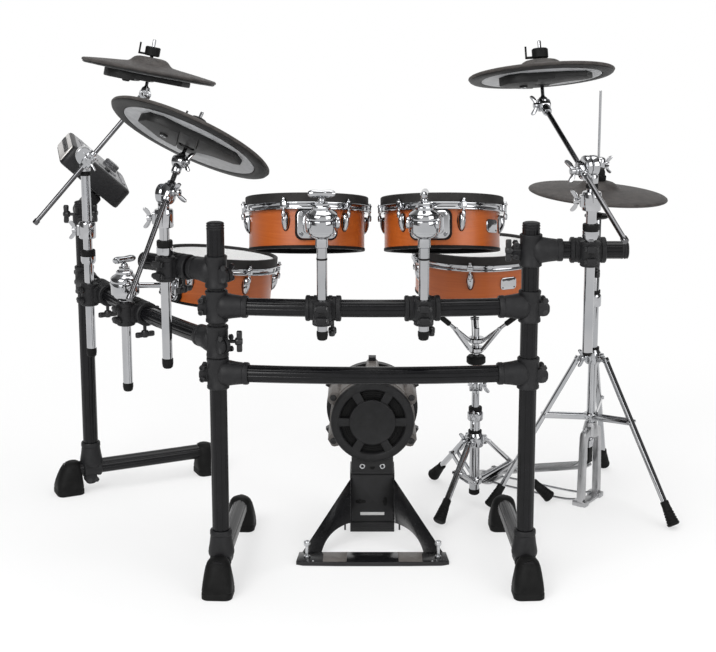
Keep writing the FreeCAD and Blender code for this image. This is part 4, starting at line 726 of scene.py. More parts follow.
def tom_arm(name):
    """Tube with a flared neck, notched barrel, cap, and a round handle on top; rubber ring and tip."""
    pivot = drum_pivot(name)
    towards = DRUMS[name][0] - pivot
    towards.z = 0
    place = placed(pivot, UP, towards)
    bottom = TUBE_BOTTOMS[name] - pivot.z / MM
    metal = Work().lathe(place, [(0, bottom), (11.1, bottom), (11.1, -54), (14, -52), (14, -36), (15, -33.5),
                                 (24, -28.5), (27, -24), (27, -19), (0, -19)], 40)
    metal.prism(shifted(place, z=-0.0205), notched_barrel(33, 8.8, 9), 27.2, 2.2)
    cap = [(0, 6.5), (31, 6.5), (33, 8.5), (33, 17), (30, 21), (23, 25.5), (19.5, 28), (19.5, 33), (17, 35),
           (0, 35)]
    metal.lathe(place, cap, 48)
    hex_head(metal, shifted(place, z=0.0345), 14, 9)
    metal.ball(shifted(place, z=0.046), 8.5, 24)
    handle = placed(place @ Vector((0, 0, 0.061)), level_way(HANDLE_TURNS[name]), UP)
    metal.lathe(handle, twofold(HALF_HANDLE, [(6.8, 0)]), 28)
    for side in SIDES:
        lug = placed(place @ Vector((-0.010, side * 0.027, 0)), place.to_3x3() @ Vector((0, side, 0)), UP)
        metal.drum(lug, 12.5, 0, 8.5, 2, 28)
    piece(f"{name}_clamp_arm", metal, CHROME, f"{name}_arm", [f"{name}_arm"])
    tip = [(0, -6), (8, -6), (10.5, -4), (12.2, 4), (12.2, 13), (11.3, 14), (0, 14)]
    rubber = Work().lathe(place, offset(tip, higher=bottom), 32)
    rubber.hoop(place, 10.9, 11.7, -80, -76, 32)
    piece(f"{name}_tube_tip", rubber, BLACK_RUBBER, f"{name}_arm")


# Rack: heights in millimetres, headings in degrees
LEFT_POST, RIGHT_POST = Vector((-0.337, -0.130, 0)), Vector((0.337, -0.130, 0))
REAR_POST = Vector((-0.728, 0.480, 0))
TUBE = 19.05
TUBE_ROOT = 0.022
GROOVES, GROOVE_DEPTH, TUBE_ANGLE = 10, 0.0011, 50
TEE_HALF, FLOOR_TEE_HALF = 35, 23
SPLAY, SOCKET = math.radians(6.8), 68.0
BARS = {"upper": (LEFT_POST, RIGHT_POST, 639), "lower": (LEFT_POST, RIGHT_POST, 490),
        "wing": (REAR_POST, LEFT_POST, 561)}
ARMS = {"left": (LEFT_POST, 146, 715), "right": (RIGHT_POST, 0, 762)}
ARM_REACH, LEG_HEIGHT = 195, 62
LEGS = {"left": (LEFT_POST, 87, 353), "right": (RIGHT_POST, 93, 353), "rear": (REAR_POST, 24.7, 330)}
LEG_AHEAD = 72
POST_TOPS = ((LEFT_POST, 809), (RIGHT_POST, 809), (REAR_POST, 748))


def bar_layout(name):
    """Middle frame, half span, arc radius and bow of a curved bar, in millimetres."""
    start, end, height = BARS[name]
    half = (end - start).length / MM / 2
    radius = (half - SOCKET * math.cos(SPLAY)) / math.sin(SPLAY)
    bow = SOCKET * math.sin(SPLAY) + radius * (1 - math.cos(SPLAY))
    return placed(raised((start + end) / 2, height), UP, end - start), half, radius, bow


def bar_spot(name, along):
    """Frame on a bar's axis at a distance from its middle, X along the bar and Z up."""
    base, _, radius, bow = bar_layout(name)
    dip = radius - math.sqrt(radius ** 2 - along ** 2)
    return turned(shifted(base, along * MM, (dip - bow) * MM), math.asin(along / radius))


def bar_path(name):
    """Line of a curved bar from socket to socket."""
    start, end, height = BARS[name]
    reach = bar_layout(name)[1] - SOCKET * math.cos(SPLAY)
    path = [bar_spot(name, reach * (step / 16 - 1)).translation for step in range(33)]
    first, last = (raised(post, height) + socket_way(name, side) * TUBE_ROOT
                   for side, post in ((1, start), (-1, end)))
    return [first, *path, last]


def socket_way(name, side):
    """Direction in which a tee holds the bar's end."""
    return bar_layout(name)[0].to_3x3() @ Vector((side * math.cos(SPLAY), -math.sin(SPLAY), 0))


def fluted(name, paths, replaced):
    """Rack tubes with their lengthwise grooves."""
    curve = bpy.data.curves.new(name, "CURVE")
    curve.dimensions = "3D"
    for path in paths:
        line = curve.splines.new("POLY")
        line.points.add(len(path) - 1)
        for point, spot in zip(line.points, path):
            point.co = (*spot, 1)
    values = {"Radius": TUBE * MM, "Grooves": GROOVES, "Depth": GROOVE_DEPTH}
    mesh = grown(name, curve, FLUTES, RACK_COAT, values)
    mesh.shade_smooth()
    mesh.set_sharp_from_angle(angle=math.radians(TUBE_ANGLE))
    shown(name, mesh, STAND, replaced)


def rack_tubes():
    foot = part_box("rack_uprights")[0][2]
    uprights = [[Vector((post.x, post.y, foot)), raised(post, top)] for post, top in POST_TOPS]
    fluted("fluted_uprights", uprights, ["rack_uprights"])
    bars = [bar_path(name) for name in BARS]
    for post, angle, height in ARMS.values():
        root, way = raised(post, height), level_way(angle)
        bars.append([root + way * TUBE_ROOT, root + way * ARM_REACH * MM])
    fluted("fluted_bars", bars, ["rack_crossbars"])
    legs = []
    for post, angle, behind in LEGS.values():
        middle, way = raised(post, LEG_HEIGHT), level_way(angle)
        legs.append([middle - way * LEG_AHEAD * MM, middle + way * behind * MM])
    fluted("fluted_legs", legs, ["rack_legs"])


def tee_frames():
    """Every tee: frame with Z along its sleeve and X along its socket, and the sleeve's half length."""
    frames = []
    for name, (start, end, height) in BARS.items():
        for side, post in ((1, start), (-1, end)):
            frames.append((placed(raised(post, height), UP, socket_way(name, side)), TEE_HALF))
    for post, angle, height in ARMS.values():
        frames.append((placed(raised(post, height), UP, level_way(angle)), TEE_HALF))
    for post, angle, _ in LEGS.values():
        frames.append((placed(raised(post, LEG_HEIGHT), level_way(angle), UP), FLOOR_TEE_HALF))
    return frames


def tee_shape(work, place, half):
    """Moulded sleeve with lips, swelling socket and a split ear."""
    upper = [(23.5, half - 8.5), (24.4, half - 7), (24.4, half - 1.5), (22.6, half), (19.4, half)]
    work.lathe(place, twofold(upper), 40, True)
    socket = [(19.4, 3), (23, 3), (26.5, 7), (28.6, 12), (29, 17), (28, 25), (25.8, 37), (24, 52), (23.4, 56),
              (24.6, 57.5), (24.6, 65.5), (23.2, 68), (19.4, 68)]
    work.lathe(place @ placed(ORIGIN, RIGHT, UP), socket, 40, True)
    for side in SIDES:
        ear = shifted(place, -0.027, side * 0.0065) @ placed((0, 0, -0.0048), BACK, RIGHT)
        work.plate(ear, (29, 32, 13), 9.6, 1.6)


def ear_screws(work, place, half):
    """Dark screw heads and nuts on both faces of a tee's ear."""
    rise = min(13, half * 0.4)
    for side in SIDES:
        for level in (-rise, rise):
            spot = place @ Vector((-0.032, side * 0.0112, level * MM))
            screw = placed(spot, place.to_3x3() @ Vector((0, side, 0)))
            if side > 0:
                hex_head(work, screw, 7, 5)
            else:
                socket_head(work, screw, 6.2, 6)


# Clamps on the short arms: the arm, their distance from the post, and the side of their grip
CLAMP_ARMS = {"ride": ("left", 110.0, -1), "crash_right": ("right", 121.6, 1)}


def clamp_frames():
    """Every two-way clamp: X along the bar, the upright grip at -Y."""
    half = bar_layout("wing")[1]
    frames = {"tom_left": bar_spot("upper", -106.5), "tom_right": bar_spot("upper", 105.0),
              "floor_tom": bar_spot("wing", half - 335), "crash_left": bar_spot("wing", half - 560)}
    for name, (arm, reach, side) in CLAMP_ARMS.items():
        post, angle, height = ARMS[arm]
        way = level_way(angle)
        frames[name] = placed(raised(post, height) + way * reach * MM, UP, way * side)
    return frames


CLAMPS = clamp_frames()
GRIP = 38


def clamp_shape(work, place):
    """Two ribbed half shells round the bar, a web and the split upright grip."""
    bar_way = place @ placed(ORIGIN, RIGHT, UP)
    ribs = [(19.5, -38), (26, -38), (28, -36)]
    for start in (-36, -20, -4, 12):
        ribs += [(28, start + 6), (26.4, start + 7.5), (26.4, start + 14.5), (28, start + 16)]
    work.lathe(bar_way, ribs + [(28, 36), (26, 38), (19.5, 38)], 40, True)
    for side in SIDES:
        for end in SIDES:
            flange = shifted(place, end * 0.024, 0, side * 0.0045) @ placed(ORIGIN, UP, BACK)
            work.plate(shifted(flange, 0.029, 0, -0.0040), (17, 22, 6), 8, 1.4)
    work.slab(shifted(place, y=-0.024), (40, 26, 44), 4)
    upper = [(20, 16.5), (21.2, 18), (21.2, 25.4), (19.4, 27), (11.3, 27)]
    work.lathe(shifted(place, y=-GRIP * MM), twofold(upper), 36, True)
    for rise in SIDES:
        work.slab(shifted(place, 0, -0.062, rise * 0.013), (21, 14, 15), 3)


def clamp_screws(work, place):
    """Screws through the flanges of the shells and the lugs of the grip."""
    along = place.to_3x3() @ RIGHT
    for side in SIDES:
        socket_head(work, placed(place @ Vector((side * 0.024, 0.0295, 0.0086)), UP), 5.6, 5)
        hex_head(work, placed(place @ Vector((side * 0.024, 0.0295, -0.0086)), DOWN), 6.4, 4.6)
        hex_head(work, placed(place @ Vector((0.0102, -0.0625, side * 0.013)), along), 6, 5)
        socket_head(work, placed(place @ Vector((-0.0102, -0.0625, side * 0.013)), along * -1), 5.4, 5)


def t_knob(work, place):
    """Screw with a moulded cross handle; Z runs out along the screw."""
    work.lathe(place, [(0, -2), (4, -2), (4, 14), (7.5, 15), (9, 18), (9, 27), (6, 31), (0, 31)], 24)
    work.prism(shifted(place, z=0.018), t_handle(24, 6.5), 12, 2.5)


def stacked(work, place, rows):
    """Closed shape through level outlines; each row is (height, length, width, corner, shift in X)."""
    points = []
    for height, length, width, corner, shift in rows:
        outline = rounded_plate(length, width, corner)
        points += [(x + shift, y, height) for x, y in outline]
    work.skin(place, points, len(outline))


BOOT_ROWS = ((0, 66, 64, 14, 0), (1.5, 70, 68, 16, 0), (13, 70, 68, 16, 0), (14.5, 68, 66, 16, 0),
             (17, 68, 66, 16, 0), (18.5, 69.5, 67.5, 17, 0), (34, 67, 65, 22, -1), (50, 62, 61, 26, -3),
             (64, 56, 56, 26, -6), (74, 48, 49, 23, -9), (80, 38, 39, 18, -11), (83.2, 26, 27, 12, -12),
             (84, 12, 13, 5, -12))
BOOT_INSET = 11


def boot_places():
    """Frame on the floor under both ends of every leg, X outwards."""
    places = []
    for post, angle, behind in LEGS.values():
        for reach, way in ((LEG_AHEAD, level_way(angle) * -1), (behind, level_way(angle))):
            places.append(placed(raised(post, 0) + way * (reach - BOOT_INSET) * MM, UP, way))
    return places


def ribbed_cap(work, place):
    """Plug with two grooves round its edge and a shallow dome."""
    profile = [(0, -1), (19.4, -1), (19.4, 1), (18, 2), (18, 3.5), (19.4, 4.5), (19.4, 7), (18, 8), (18, 9.2),
               (19.2, 10), (18.6, 12), (16, 13.4), (8, 14), (0, 14)]
    work.lathe(place, profile, 44)


def rack():
    rack_tubes()
    tees, screws = Work(), Work()
    for place, half in tee_frames():
        tee_shape(tees, place, half)
        ear_screws(screws, place, half)
    piece("moulded_tees", tees, JOINT_PLASTIC, STAND, ["rack_joint_sleeves"])
    clamps = Work()
    for place in CLAMPS.values():
        clamp_shape(clamps, place)
        clamp_screws(screws, place)
        t_knob(screws, placed(place @ Vector((0.019, 0, -0.027)), DOWN, place.to_3x3() @ BACK))
    bracket_arm(clamps)
    piece("bar_clamps", clamps, JOINT_PLASTIC, STAND, ["rack_clamps"])
    t_knob(screws, placed(raised(LEFT_POST, 561) + Vector((0.024, -0.004, 0)), RIGHT, UP))
    t_knob(screws, placed(raised(RIGHT_POST, 762) + Vector((-0.024, -0.004, 0)), RIGHT * -1, UP))
    piece("rack_screws_and_knobs", screws, DARK_BOLT, STAND, ["rack_wing_bolts"])
    caps = Work()
    for post, top in POST_TOPS:
        ribbed_cap(caps, placed(raised(post, top)))
    for post, angle, height in ARMS.values():
        ribbed_cap(caps, facing(post, height, angle, ARM_REACH * MM))
    piece("ribbed_caps", caps, JOINT_PLASTIC, STAND, ["rack_end_caps"])
    boots = Work()
    for place in boot_places():
        stacked(boots, place, BOOT_ROWS)
    for place in tip_places():
        leg_tip(boots, place)
    piece("boots_and_leg_tips", boots, BLACK_RUBBER, STAND, ["rubber_feet"])


# Cymbals: the pad's lean back and right, the boom's heading, pitch, upper and lower length, lift off its
# ratchet and side of the mast, the pad's diameter, and the heights of the mast's bottom and collar
Cymbal = namedtuple("Cymbal", "lean heading pitch upper lower lift side across bottom collar")
CYMBALS = {
    "crash_left": Cymbal((6.2, 11), 12.7, 48.2, 204.8, 191.3, -12, 1, 322.5, 411, 700),
    "ride": Cymbal((22.2, 23), 64.3, 51.6, 74.8, 251.0, 12, 1, 371.5, 499, 806),
    "crash_right": Cymbal((13.9, -3.6), 107.2, 28.1, 242.0, 228.6, -12, -1, 322.5, 547, 855),
}
BOOM = 5.5


def boom_lines(name):
    """Ratchet and its axis, the boom's direction and the middle of its block, the pad's seat and normal."""
    cymbal = CYMBALS[name]
    ratchet = Vector(joints[f"{name}_boom_swing"]["pos_m"])
    axis = level_way(cymbal.heading - 90)
    pitch = math.radians(cymbal.pitch)
    way = level_way(cymbal.heading) * math.cos(pitch) + UP * math.sin(pitch)
    middle = ratchet + axis * cymbal.side * 0.0193 + axis.cross(way) * cymbal.lift * MM
    seat = Vector(joints[f"{name}_pad_rock"]["pos_m"])
    return ratchet, axis * cymbal.side, way, middle, seat, lean(*cymbal.lean)


def boom(name):
    """Dark rod through a chrome block, tilter with its wing screw, stem, seat and stopper."""
    ratchet, axis, way, middle, seat, normal = boom_lines(name)
    tilter = middle + way * CYMBALS[name].upper * MM
    end = middle - way * CYMBALS[name].lower * MM
    steel = Work().bar(end, tilter, BOOM, 28)
    steel.lathe(placed(end, way * -1), [(0, -3), (7.4, -3), (7.4, 7), (6, 9), (0, 9)], 24)
    piece(f"{name}_boom_rod", steel, BOOM_STEEL, f"{name}_boom", [f"{name}_boom"])
    metal = Work()
    metal.drum(placed(ratchet + axis * 0.0083, axis, way), 22, 0, 12, 2.2, 48)
    block = placed(middle, way, axis)
    metal.slab(block, (21.6, 26, 34), 5)
    metal.hoop(block, 5.7, 10.5, -23, 23, 28, 1, 2)
    screw = placed(middle + axis * 0.011, axis, UP)
    metal.drum(screw, 9, 0, 7, 1.5, 28)
    wing_nut(metal, shifted(turned(screw, 0.5), z=0.006), 1.1, 5)
    hinge = placed(tilter, axis, normal)
    metal.drum(shifted(hinge, z=-0.013), 14, 0, 26, 2.5, 36)
    sleeve = [(0, 6), (9.5, 6), (10.5, 10), (10.5, 26), (9, 29), (5.6, 30), (0, 30)]
    metal.lathe(placed(tilter, way * -1), sleeve, 28)
    wing_nut(metal, shifted(hinge, z=0.013), 0.95)
    stem = placed(seat, normal, axis)
    low = (tilter - seat).dot(normal) / MM
    top, cap = (68, 52) if name == "ride" else (80, 62.6)
    root = offset([(0, 4), (10.5, 4), (11.5, 9), (9.5, 16), (5.2, 19), (4, 22)], higher=low)
    metal.lathe(stem, root + [(4, top - 2), (3.2, top), (0, top)], 28)
    piece(f"{name}_tilter_and_stem", metal, CHROME, f"{name}_boom")
    cone = [(0, -19), (9.5, -19), (11, -17), (13.8, -14.6), (14.8, -12), (11, -6), (6, -1.8), (0, -0.8)]
    black = Work().lathe(stem, cone, 40)
    stopper = [(0, 30), (4.2, 30), (4.2, 40), (15.6, 40.4), (18, 42.6)]
    black.lathe(stem, stopper + [(18, cap - 2.2), (15.6, cap), (0, cap)], 48)
    catch = placed(seat, normal, RIGHT * -1)
    black.bar(catch @ Vector((0.031, 0, 0.041)), catch @ Vector((0.031, 0, (cap + 6) * MM)), 2.2, 14)
    black.slab(shifted(catch, 0.020, 0, 0.0435), (26, 9, 5), 1.6)
    piece(f"{name}_seat_and_stopper", black, BLACK_RUBBER, f"{name}_boom")


def mast(chrome, black, name):
    """Tube with its collar and wing screw, memory ring, rubber tip and the fixed half of the ratchet."""
    ratchet, axis = boom_lines(name)[:2]
    bottom, collar = CYMBALS[name].bottom, CYMBALS[name].collar
    stand = placed(raised(ratchet, 0))
    ring = shifted(stand, z=collar * MM)
    top = ratchet.z / MM - 22
    chrome.lathe(stand, [(0, bottom), (11.1, bottom), (11.1, collar - 30), (0, collar - 30)], 36)
    neck = offset([(11.1, -16), (12.6, -14), (12.6, 1), (8, 8), (0, 8)], higher=top)
    chrome.lathe(stand, [(0, collar - 31), (11.1, collar - 31)] + neck, 36)
    chrome.lathe(ring, [(11, 0), (19, 0), (20.5, 2), (20.5, 36), (19, 39.4), (17, 40), (11, 40)], 40, True)
    chrome.lathe(ring, [(11, -62), (15.5, -62), (18, -56), (18, -44), (11, -44)], 40, True)
    clip = facing(ratchet, collar + 20, 180, 0.022)
    chrome.slab(shifted(clip, z=-0.003), (26, 21, 12), 2.5)
    wing_nut(chrome, shifted(clip, z=0.004))
    disc = placed(ratchet - axis * 0.008, axis, UP)
    chrome.drum(disc, 22, 0, 16, 2.0, 48)
    chrome.drum(shifted(disc, z=-0.006), 10, 0, 7, 1.5, 28)
    chrome.slab(placed(ratchet - UP * 0.019, UP, axis), (15.6, 21, 22), 2.5)
    tip = 12.4 if name != "crash_right" else 11.0
    end = [(0, -7), (8.5, -7), (tip - 1.2, -4), (tip, 4), (tip, 14), (tip - 1, 15), (0, 15)]
    black.lathe(stand, offset(end, higher=bottom), 32)
    black.hoop(ring, 11, 17.5, -43, -29, 40, 1, 2)
    black.hoop(stand, 11, 13.4, top - 26, top - 17)


# Sensor housing under a pad: outline in shares of the plate's radius and depth in millimetres, for its head,
# bridge and long arm
HOUSING = (
    ([(0.74, -0.40), (0.62, -0.70), (0.42, -0.82), (0.14, -0.78), (0.14, 0.10), (0.30, 0.06), (0.44, -0.02),
      (0.56, -0.18)], 24),
    ([(0.14, -0.78), (0.14, -0.16), (-0.14, -0.16), (-0.14, -0.78)], 20),
    ([(-0.14, -0.78), (-0.34, -0.75), (-0.68, -0.64), (-0.80, -0.36), (-0.72, -0.24), (-0.40, -0.12),
      (-0.22, 0.02), (-0.14, 0.10)], 17),
)


def pad_underside(name):
    """Ring plate, rubber lip, long sensor housing with its cross arm, and the jack's bright ring."""
    seat, normal = boom_lines(name)[4:6]
    place = placed(seat, normal, normal.cross(BACK))
    radius = CYMBALS[name].across / 2
    rings = [(0.36, -5.2), (0.40, -7.2), (0.44, -7.2), (0.48, -5.0), (0.79, -4.2), (0.82, -2.6), (0.82, 0.2)]
    profile = [(15, 0.2), (15, -3.2), (19, -4.4)] + [(radius * share, z) for share, z in rings]
    plate = Work().lathe(place, profile, 88, True)
    piece(f"{name}_ring_plate", plate, PLATE_PLASTIC, f"{name}_pad", [f"{name}_base_plate"])
    lip = [(radius * 0.83, 0.4), (radius * 0.83, -2.4), (radius * 0.86, -3.6), (radius - 7, -3.2),
           (radius - 3, -0.6), (radius - 3, 0.4)]
    black = Work().lathe(place, lip, 96, True)
    unit = radius * 0.82
    for outline, deep in HOUSING:
        black.prism(shifted(place, z=-deep * MM), [(x * unit, -y * unit) for x, y in outline], deep - 3, 3)
    cross = [(x, y - radius * 0.25) for x, y in rounded_plate(44, radius * 0.22, 7)]
    black.prism(shifted(place, z=-0.014), cross, 11, 2.5)
    black.lathe(place, [(19, -3), (31, -3), (31, -14), (28.5, -16), (19, -16)], 44, True)
    jack = placed(place @ Vector((unit * 0.34 * MM, unit * 0.34 * MM, -0.024)), normal * -1)
    black.lathe(jack, [(0, -2), (9, -2), (9, 3), (7, 4.2), (4.4, 4.2), (4.2, 1), (0, 1)], 28)
    piece(f"{name}_sensor_housing", black, TRIGGER_PLASTIC, f"{name}_pad")
    bright = Work().hoop(jack, 4.6, 6.6, 3.9, 5.0, 24)
    slot = shifted(place, radius * 0.4356 * MM, -0.012, -0.0098)
    bright.plate(slot, (46, 9, 2.2), 5, 0.3)
    piece(f"{name}_jack_and_slot", bright, BOLT_STEEL, f"{name}_pad")


def cymbals():
    chrome, black = Work(), Work()
    for name in CYMBALS:
        boom(name)
        mast(chrome, black, name)
        pad_underside(name)
    piece("mast_tubes", chrome, CHROME, STAND, ["cymbal_masts"])
    piece("mast_rings_and_tips", black, BLACK_RUBBER, STAND)


# Floor stands: foot, heights of collar and hub, the legs' reach and first heading, the tube's radius,
# the knees' reach and drop, and how far the struts rise
HIHAT, SNARE = Vector((0.553, 0.394, 0)), Vector((0.260, 0.385, 0))
Tripod = namedtuple("Tripod", "foot collar hub reach heading tube knee_out knee_drop strut_rise")
TRIPODS = (Tripod(HIHAT, 383, 227, 253, -46.6, 11.1, 42, 6, 12),
           Tripod(SNARE, 168, 60, 178, 0, 12.7, 34, 5, 46))
TIP_WIDE, TIP_LONG = 32, 46


def leg_lines(base):
    """For each leg: its heading, knee, end and the direction of its straight part."""
    lines = []
    for index in range(3):
        out = level_way(base.heading + 120 * index)
        knee = raised(base.foot, base.collar - base.knee_drop) + out * base.knee_out * MM
        end = base.foot + out * base.reach * MM
        for _ in range(3):
            way = (end - knee).normalized()
            end.z = (TIP_WIDE / 2 * math.hypot(way.x, way.y) - way.z * TIP_LONG / 2) * MM
        lines.append((out, knee, end, way))
    return lines


def tip_places():
    return [placed(end - way * TIP_LONG / 2 * MM, way)
            for base in TRIPODS for _, _, end, way in leg_lines(base)]


def leg_tip(work, place):
    """Ribbed rubber tip that widens towards the floor."""
    profile = [(0, -17), (9, -17), (10.4, -15), (10.4, -2), (11, 2)]
    for ring in range(5):
        low, wide = 4 + 7 * ring, 11.4 + 0.75 * ring
        profile += [(wide, low), (wide + 0.7, low + 4.5), (wide - 0.6, low + 5.2), (wide - 0.6, low + 6.4)]
    work.lathe(place, profile + [(15.4, 38), (16, 40), (15.4, 43), (13, 45.4), (10, 46), (0, 46)], 32)


def cross_pin(work, middle, side, radius, length, steps=20):
    work.drum(placed(middle - side * length / 2 * MM, side), radius, 0, length, 1, steps)


def tripod(base, metal, black):
    """Collar with ears, bent flat legs, lower hub, paired struts up to the legs, and a wing screw."""
    foot, collar, hub, tube = base.foot, base.collar, base.hub, base.tube
    head = raised(foot, collar)
    rim = [(0, -18), (7, -18), (9, -15), (9, 10), (6, 14), (4, 18), (0, 18)]
    metal.lathe(placed(head), offset(rim, tube), 40, True)
    metal.hoop(placed(foot), tube, tube + 7.5, hub - 8, hub + 8, 36, 1.5, 2)
    for out, knee, end, way in leg_lines(base):
        side = UP.cross(out)
        path = smooth_path([head + out * (tube + 3) * MM, knee, knee + way * 0.03, end], 10)
        metal.sweep(path, flat_section(15, 11, 3), side)
        metal.slab(placed(head + out * (tube + 11) * MM, out, UP), (22, 20, 14), 3)
        cross_pin(metal, head + out * (tube + 14) * MM, side, 4.5, 24)
        share = (hub + base.strut_rise - knee.z / MM) / ((end.z - knee.z) / MM)
        joint = knee + (end - knee) * share
        start = raised(foot, hub) + out * (tube + 5) * MM
        for turn in SIDES:
            first, last = start + side * turn * 0.0095, joint + side * turn * 0.0095
            metal.sweep([first, first.lerp(last, 0.5), last], flat_section(3, 13, 1.2), side)
        for spot in (joint, start):
            cross_pin(metal, spot, side, 4.5, 28)
    wing = facing(foot, collar, -150, (tube + 8) * MM)
    metal.drum(wing, 6.5, -2, 9, 1.2, 24)
    wing_nut(metal, shifted(wing, z=0.008))
    black.hoop(placed(head), tube + 0.2, tube + 4.4, 18, 24)


PEDAL = placed(HIHAT, UP, level_way(146))
HEEL = Vector((0.290, 0, 0.022))
SLOPE = math.atan2(96 - 22, 290)
OUTER_ARCH = [(52, 0), (53, 20), (51, 80), (47, 150), (45, 180), (41, 190), (22, 198), (16, 203)]
INNER_ARCH = [(33, 0), (34, 20), (33, 80), (31, 150), (29, 168), (24, 176)]


def hihat_frame():
    """Cast arch with a round head, feet and floor bar, heel plate with hinge ears, and bent floor wires."""
    cast, wires = Work(), Work()
    face = PEDAL @ placed(ORIGIN, RIGHT, BACK)
    arch = [(-x, y) for x, y in OUTER_ARCH] + OUTER_ARCH[::-1] + mirrored(INNER_ARCH)
    cast.prism(shifted(face, z=-0.009), arch, 18, 3)
    head = [(3.9, 174), (17, 174), (20, 177), (20, 192), (17.5, 202), (15.5, 212), (3.9, 212)]
    cast.lathe(PEDAL, head, 36, True)
    cast.slab(shifted(PEDAL, z=0.005), (26, 76, 8), 2.5)
    heel = shifted(PEDAL, HEEL.x)
    cast.plate(shifted(heel, 0.014), (76, 82, 14), 7, 2)
    for side in SIDES:
        cast.slab(shifted(PEDAL, 0.002, side * 0.042, 0.007), (38, 22, 14), 3)
        ear = shifted(heel, 0, side * 0.0251, 0) @ placed(ORIGIN, BACK, RIGHT)
        outline = mirrored([(13, -5), (11, -22), (7, -29)], [(0, -31)])
        cast.prism(shifted(ear, z=-0.003), outline, 6, 1.2)
        corners = [(0.010, side * 0.030, 0.012), (0.060, side * 0.031, 0.0045), (0.180, side * 0.030, 0.004),
                   (0.262, side * 0.027, 0.0045), (0.288, side * 0.018, 0.006)]
        path = smooth_path([PEDAL @ Vector(corner) for corner in corners], 8)
        wires.sweep(path, round_section(2.8, 14))
    pin = placed(PEDAL @ (HEEL - Vector((0, 0.030, 0))), PEDAL.to_3x3() @ BACK)
    wires.drum(pin, 3, 0, 60, 0.6, 20)
    piece("hihat_cast_frame", cast, CAST_METAL, STAND, ["hihat_frame"])
    piece("hihat_floor_wires", wires, CHROME, STAND)


def footboard():
    """Tapered board with raised cross ribs, side rails, a round toe and the strap's clip."""
    base = PEDAL @ Matrix.Translation(HEEL) @ Matrix.Rotation(SLOPE, 4, "Y")
    upper = [(-299, 11), (-292, 20), (-280, 25), (-250, 27), (-60, 29), (-12, 26)]
    board = Work().prism(shifted(base, z=-0.0035), twofold(upper, [(-301, 0)]), 7, 1.6)
    rail = ((-18, 25.5), (-60, 27), (-250, 25), (-278, 23))
    for side in SIDES:
        path = [base @ Vector((x * MM, side * y * MM, 0.0035)) for x, y in rail]
        board.sweep(path, flat_section(3.2, 5, 1))
    board.drum(base @ placed((0, -0.0215, 0), BACK, RIGHT), 6.8, 0, 43, 0.8, 28)
    board.slab(shifted(base, -0.010), (22, 43, 7), 1.5)
    board.plate(shifted(base, -0.034, 0, 0.003), (26, 38, 6), 2.2, 0.8)
    piece("ribbed_footboard", board, CAST_METAL, "hihat_pedal", ["hihat_footboard"])
    rib = Work().slab(HOME, (5, 42, 3), 1.1)
    repeated("footboard_ribs", rib, CAST_METAL, "hihat_pedal", 19,
             shifted(base, -0.064, 0, 0.0046), step=(-10.6, 0, 0))
    clip = Work().slab(shifted(base, -0.287, 0, 0.0062), (14, 25, 5), 1.4)
    for side in SIDES:
        socket_head(clip, shifted(base, -0.287, side * 0.007, 0.0082), 3.4, 3)
    piece("footboard_clip", clip, CHROME, "hihat_pedal")


def pull_rod():
    """Rod with its clutch, washers and lock nut, and the strap that the footboard pulls."""
    stand = placed(HIHAT)
    seat = placed(raised(HIHAT, 790), lean(0, 3.9))
    metal = Work().lathe(stand, [(0, 150), (3.2, 150), (3.2, 1047), (2.4, 1048), (0, 1048)], 24)
    metal.lathe(stand, [(0, 150), (6, 150), (7, 153), (7, 166), (5, 170), (0, 170)], 24)
    metal.slab(shifted(PEDAL, 0, 0, 0.155), (9, 27, 20), 2)
    metal.lathe(seat, [(0, 66), (10.5, 66), (11.5, 68), (11.5, 90), (9, 94), (4.5, 96), (0, 96)], 32)
    clutch = placed(seat @ Vector((0.010, 0, 0.079)), seat.to_3x3() @ RIGHT, UP)
    wing_nut(metal, clutch, 0.95)
    metal.lathe(seat, [(0, -14), (9, -14), (10, -12.5), (10, -9), (0, -9)], 28)
    piece("hihat_rod_and_clutch", metal, CHROME, "hihat_rod", ["hihat_pull_rod"])
    black = Work().slab(shifted(PEDAL, 0, 0, 0.126), (4.2, 23, 46), 1.2)
    washers = [(0, -8.6), (13, -8.6), (14.5, -7), (14.5, -1.6), (8.6, -0.4), (8.6, 37.4), (15.5, 38),
               (16.5, 40), (16.5, 50), (13, 53), (13, 60), (11, 65), (0, 65)]
    black.lathe(seat, washers, 36)
    piece("hihat_strap_and_washers", black, BLACK_RUBBER, "hihat_rod")


def hihat_tube(metal, black):
    """Upright tube with its clamp, wing screw and ring."""
    stand = placed(HIHAT)
    metal.lathe(stand, [(3.9, 202), (11.1, 202), (11.1, 733), (10, 735), (3.9, 735)], 36, True)
    metal.lathe(stand, [(11, 512), (15, 512), (16.5, 514), (16.5, 538), (14, 544), (11, 546)], 36, True)
    wing_nut(metal, facing(HIHAT, 526, -120, 0.016), 0.95)
    black.hoop(stand, 11, 14, 546, 553)


ARM_SPOTS = (90, 210, 330)
TILTER = raised(SNARE, 312)


def snare_stand(metal, black):
    """Lower tube with its clamp and memory ring."""
    stand = placed(SNARE)
    metal.hoop(stand, 9.8, 12.7, 30, 243)
    metal.lathe(stand, [(9.8, 219), (18, 219), (20, 222), (20, 238), (17, 243), (9.8, 243)], 36, True)
    block = facing(SNARE, 231, -100, 0.020)
    metal.slab(block, (22, 20, 14), 3)
    wing_nut(metal, shifted(block, z=0.006))
    black.lathe(stand, [(9.8, 243.4), (16, 243.4), (17, 245), (17, 252), (16, 254), (9.8, 254)], 36, True)
    black.lathe(stand, [(0, 22), (10, 22), (13.6, 25), (13.6, 36), (12.6, 37), (0, 37)], 32)


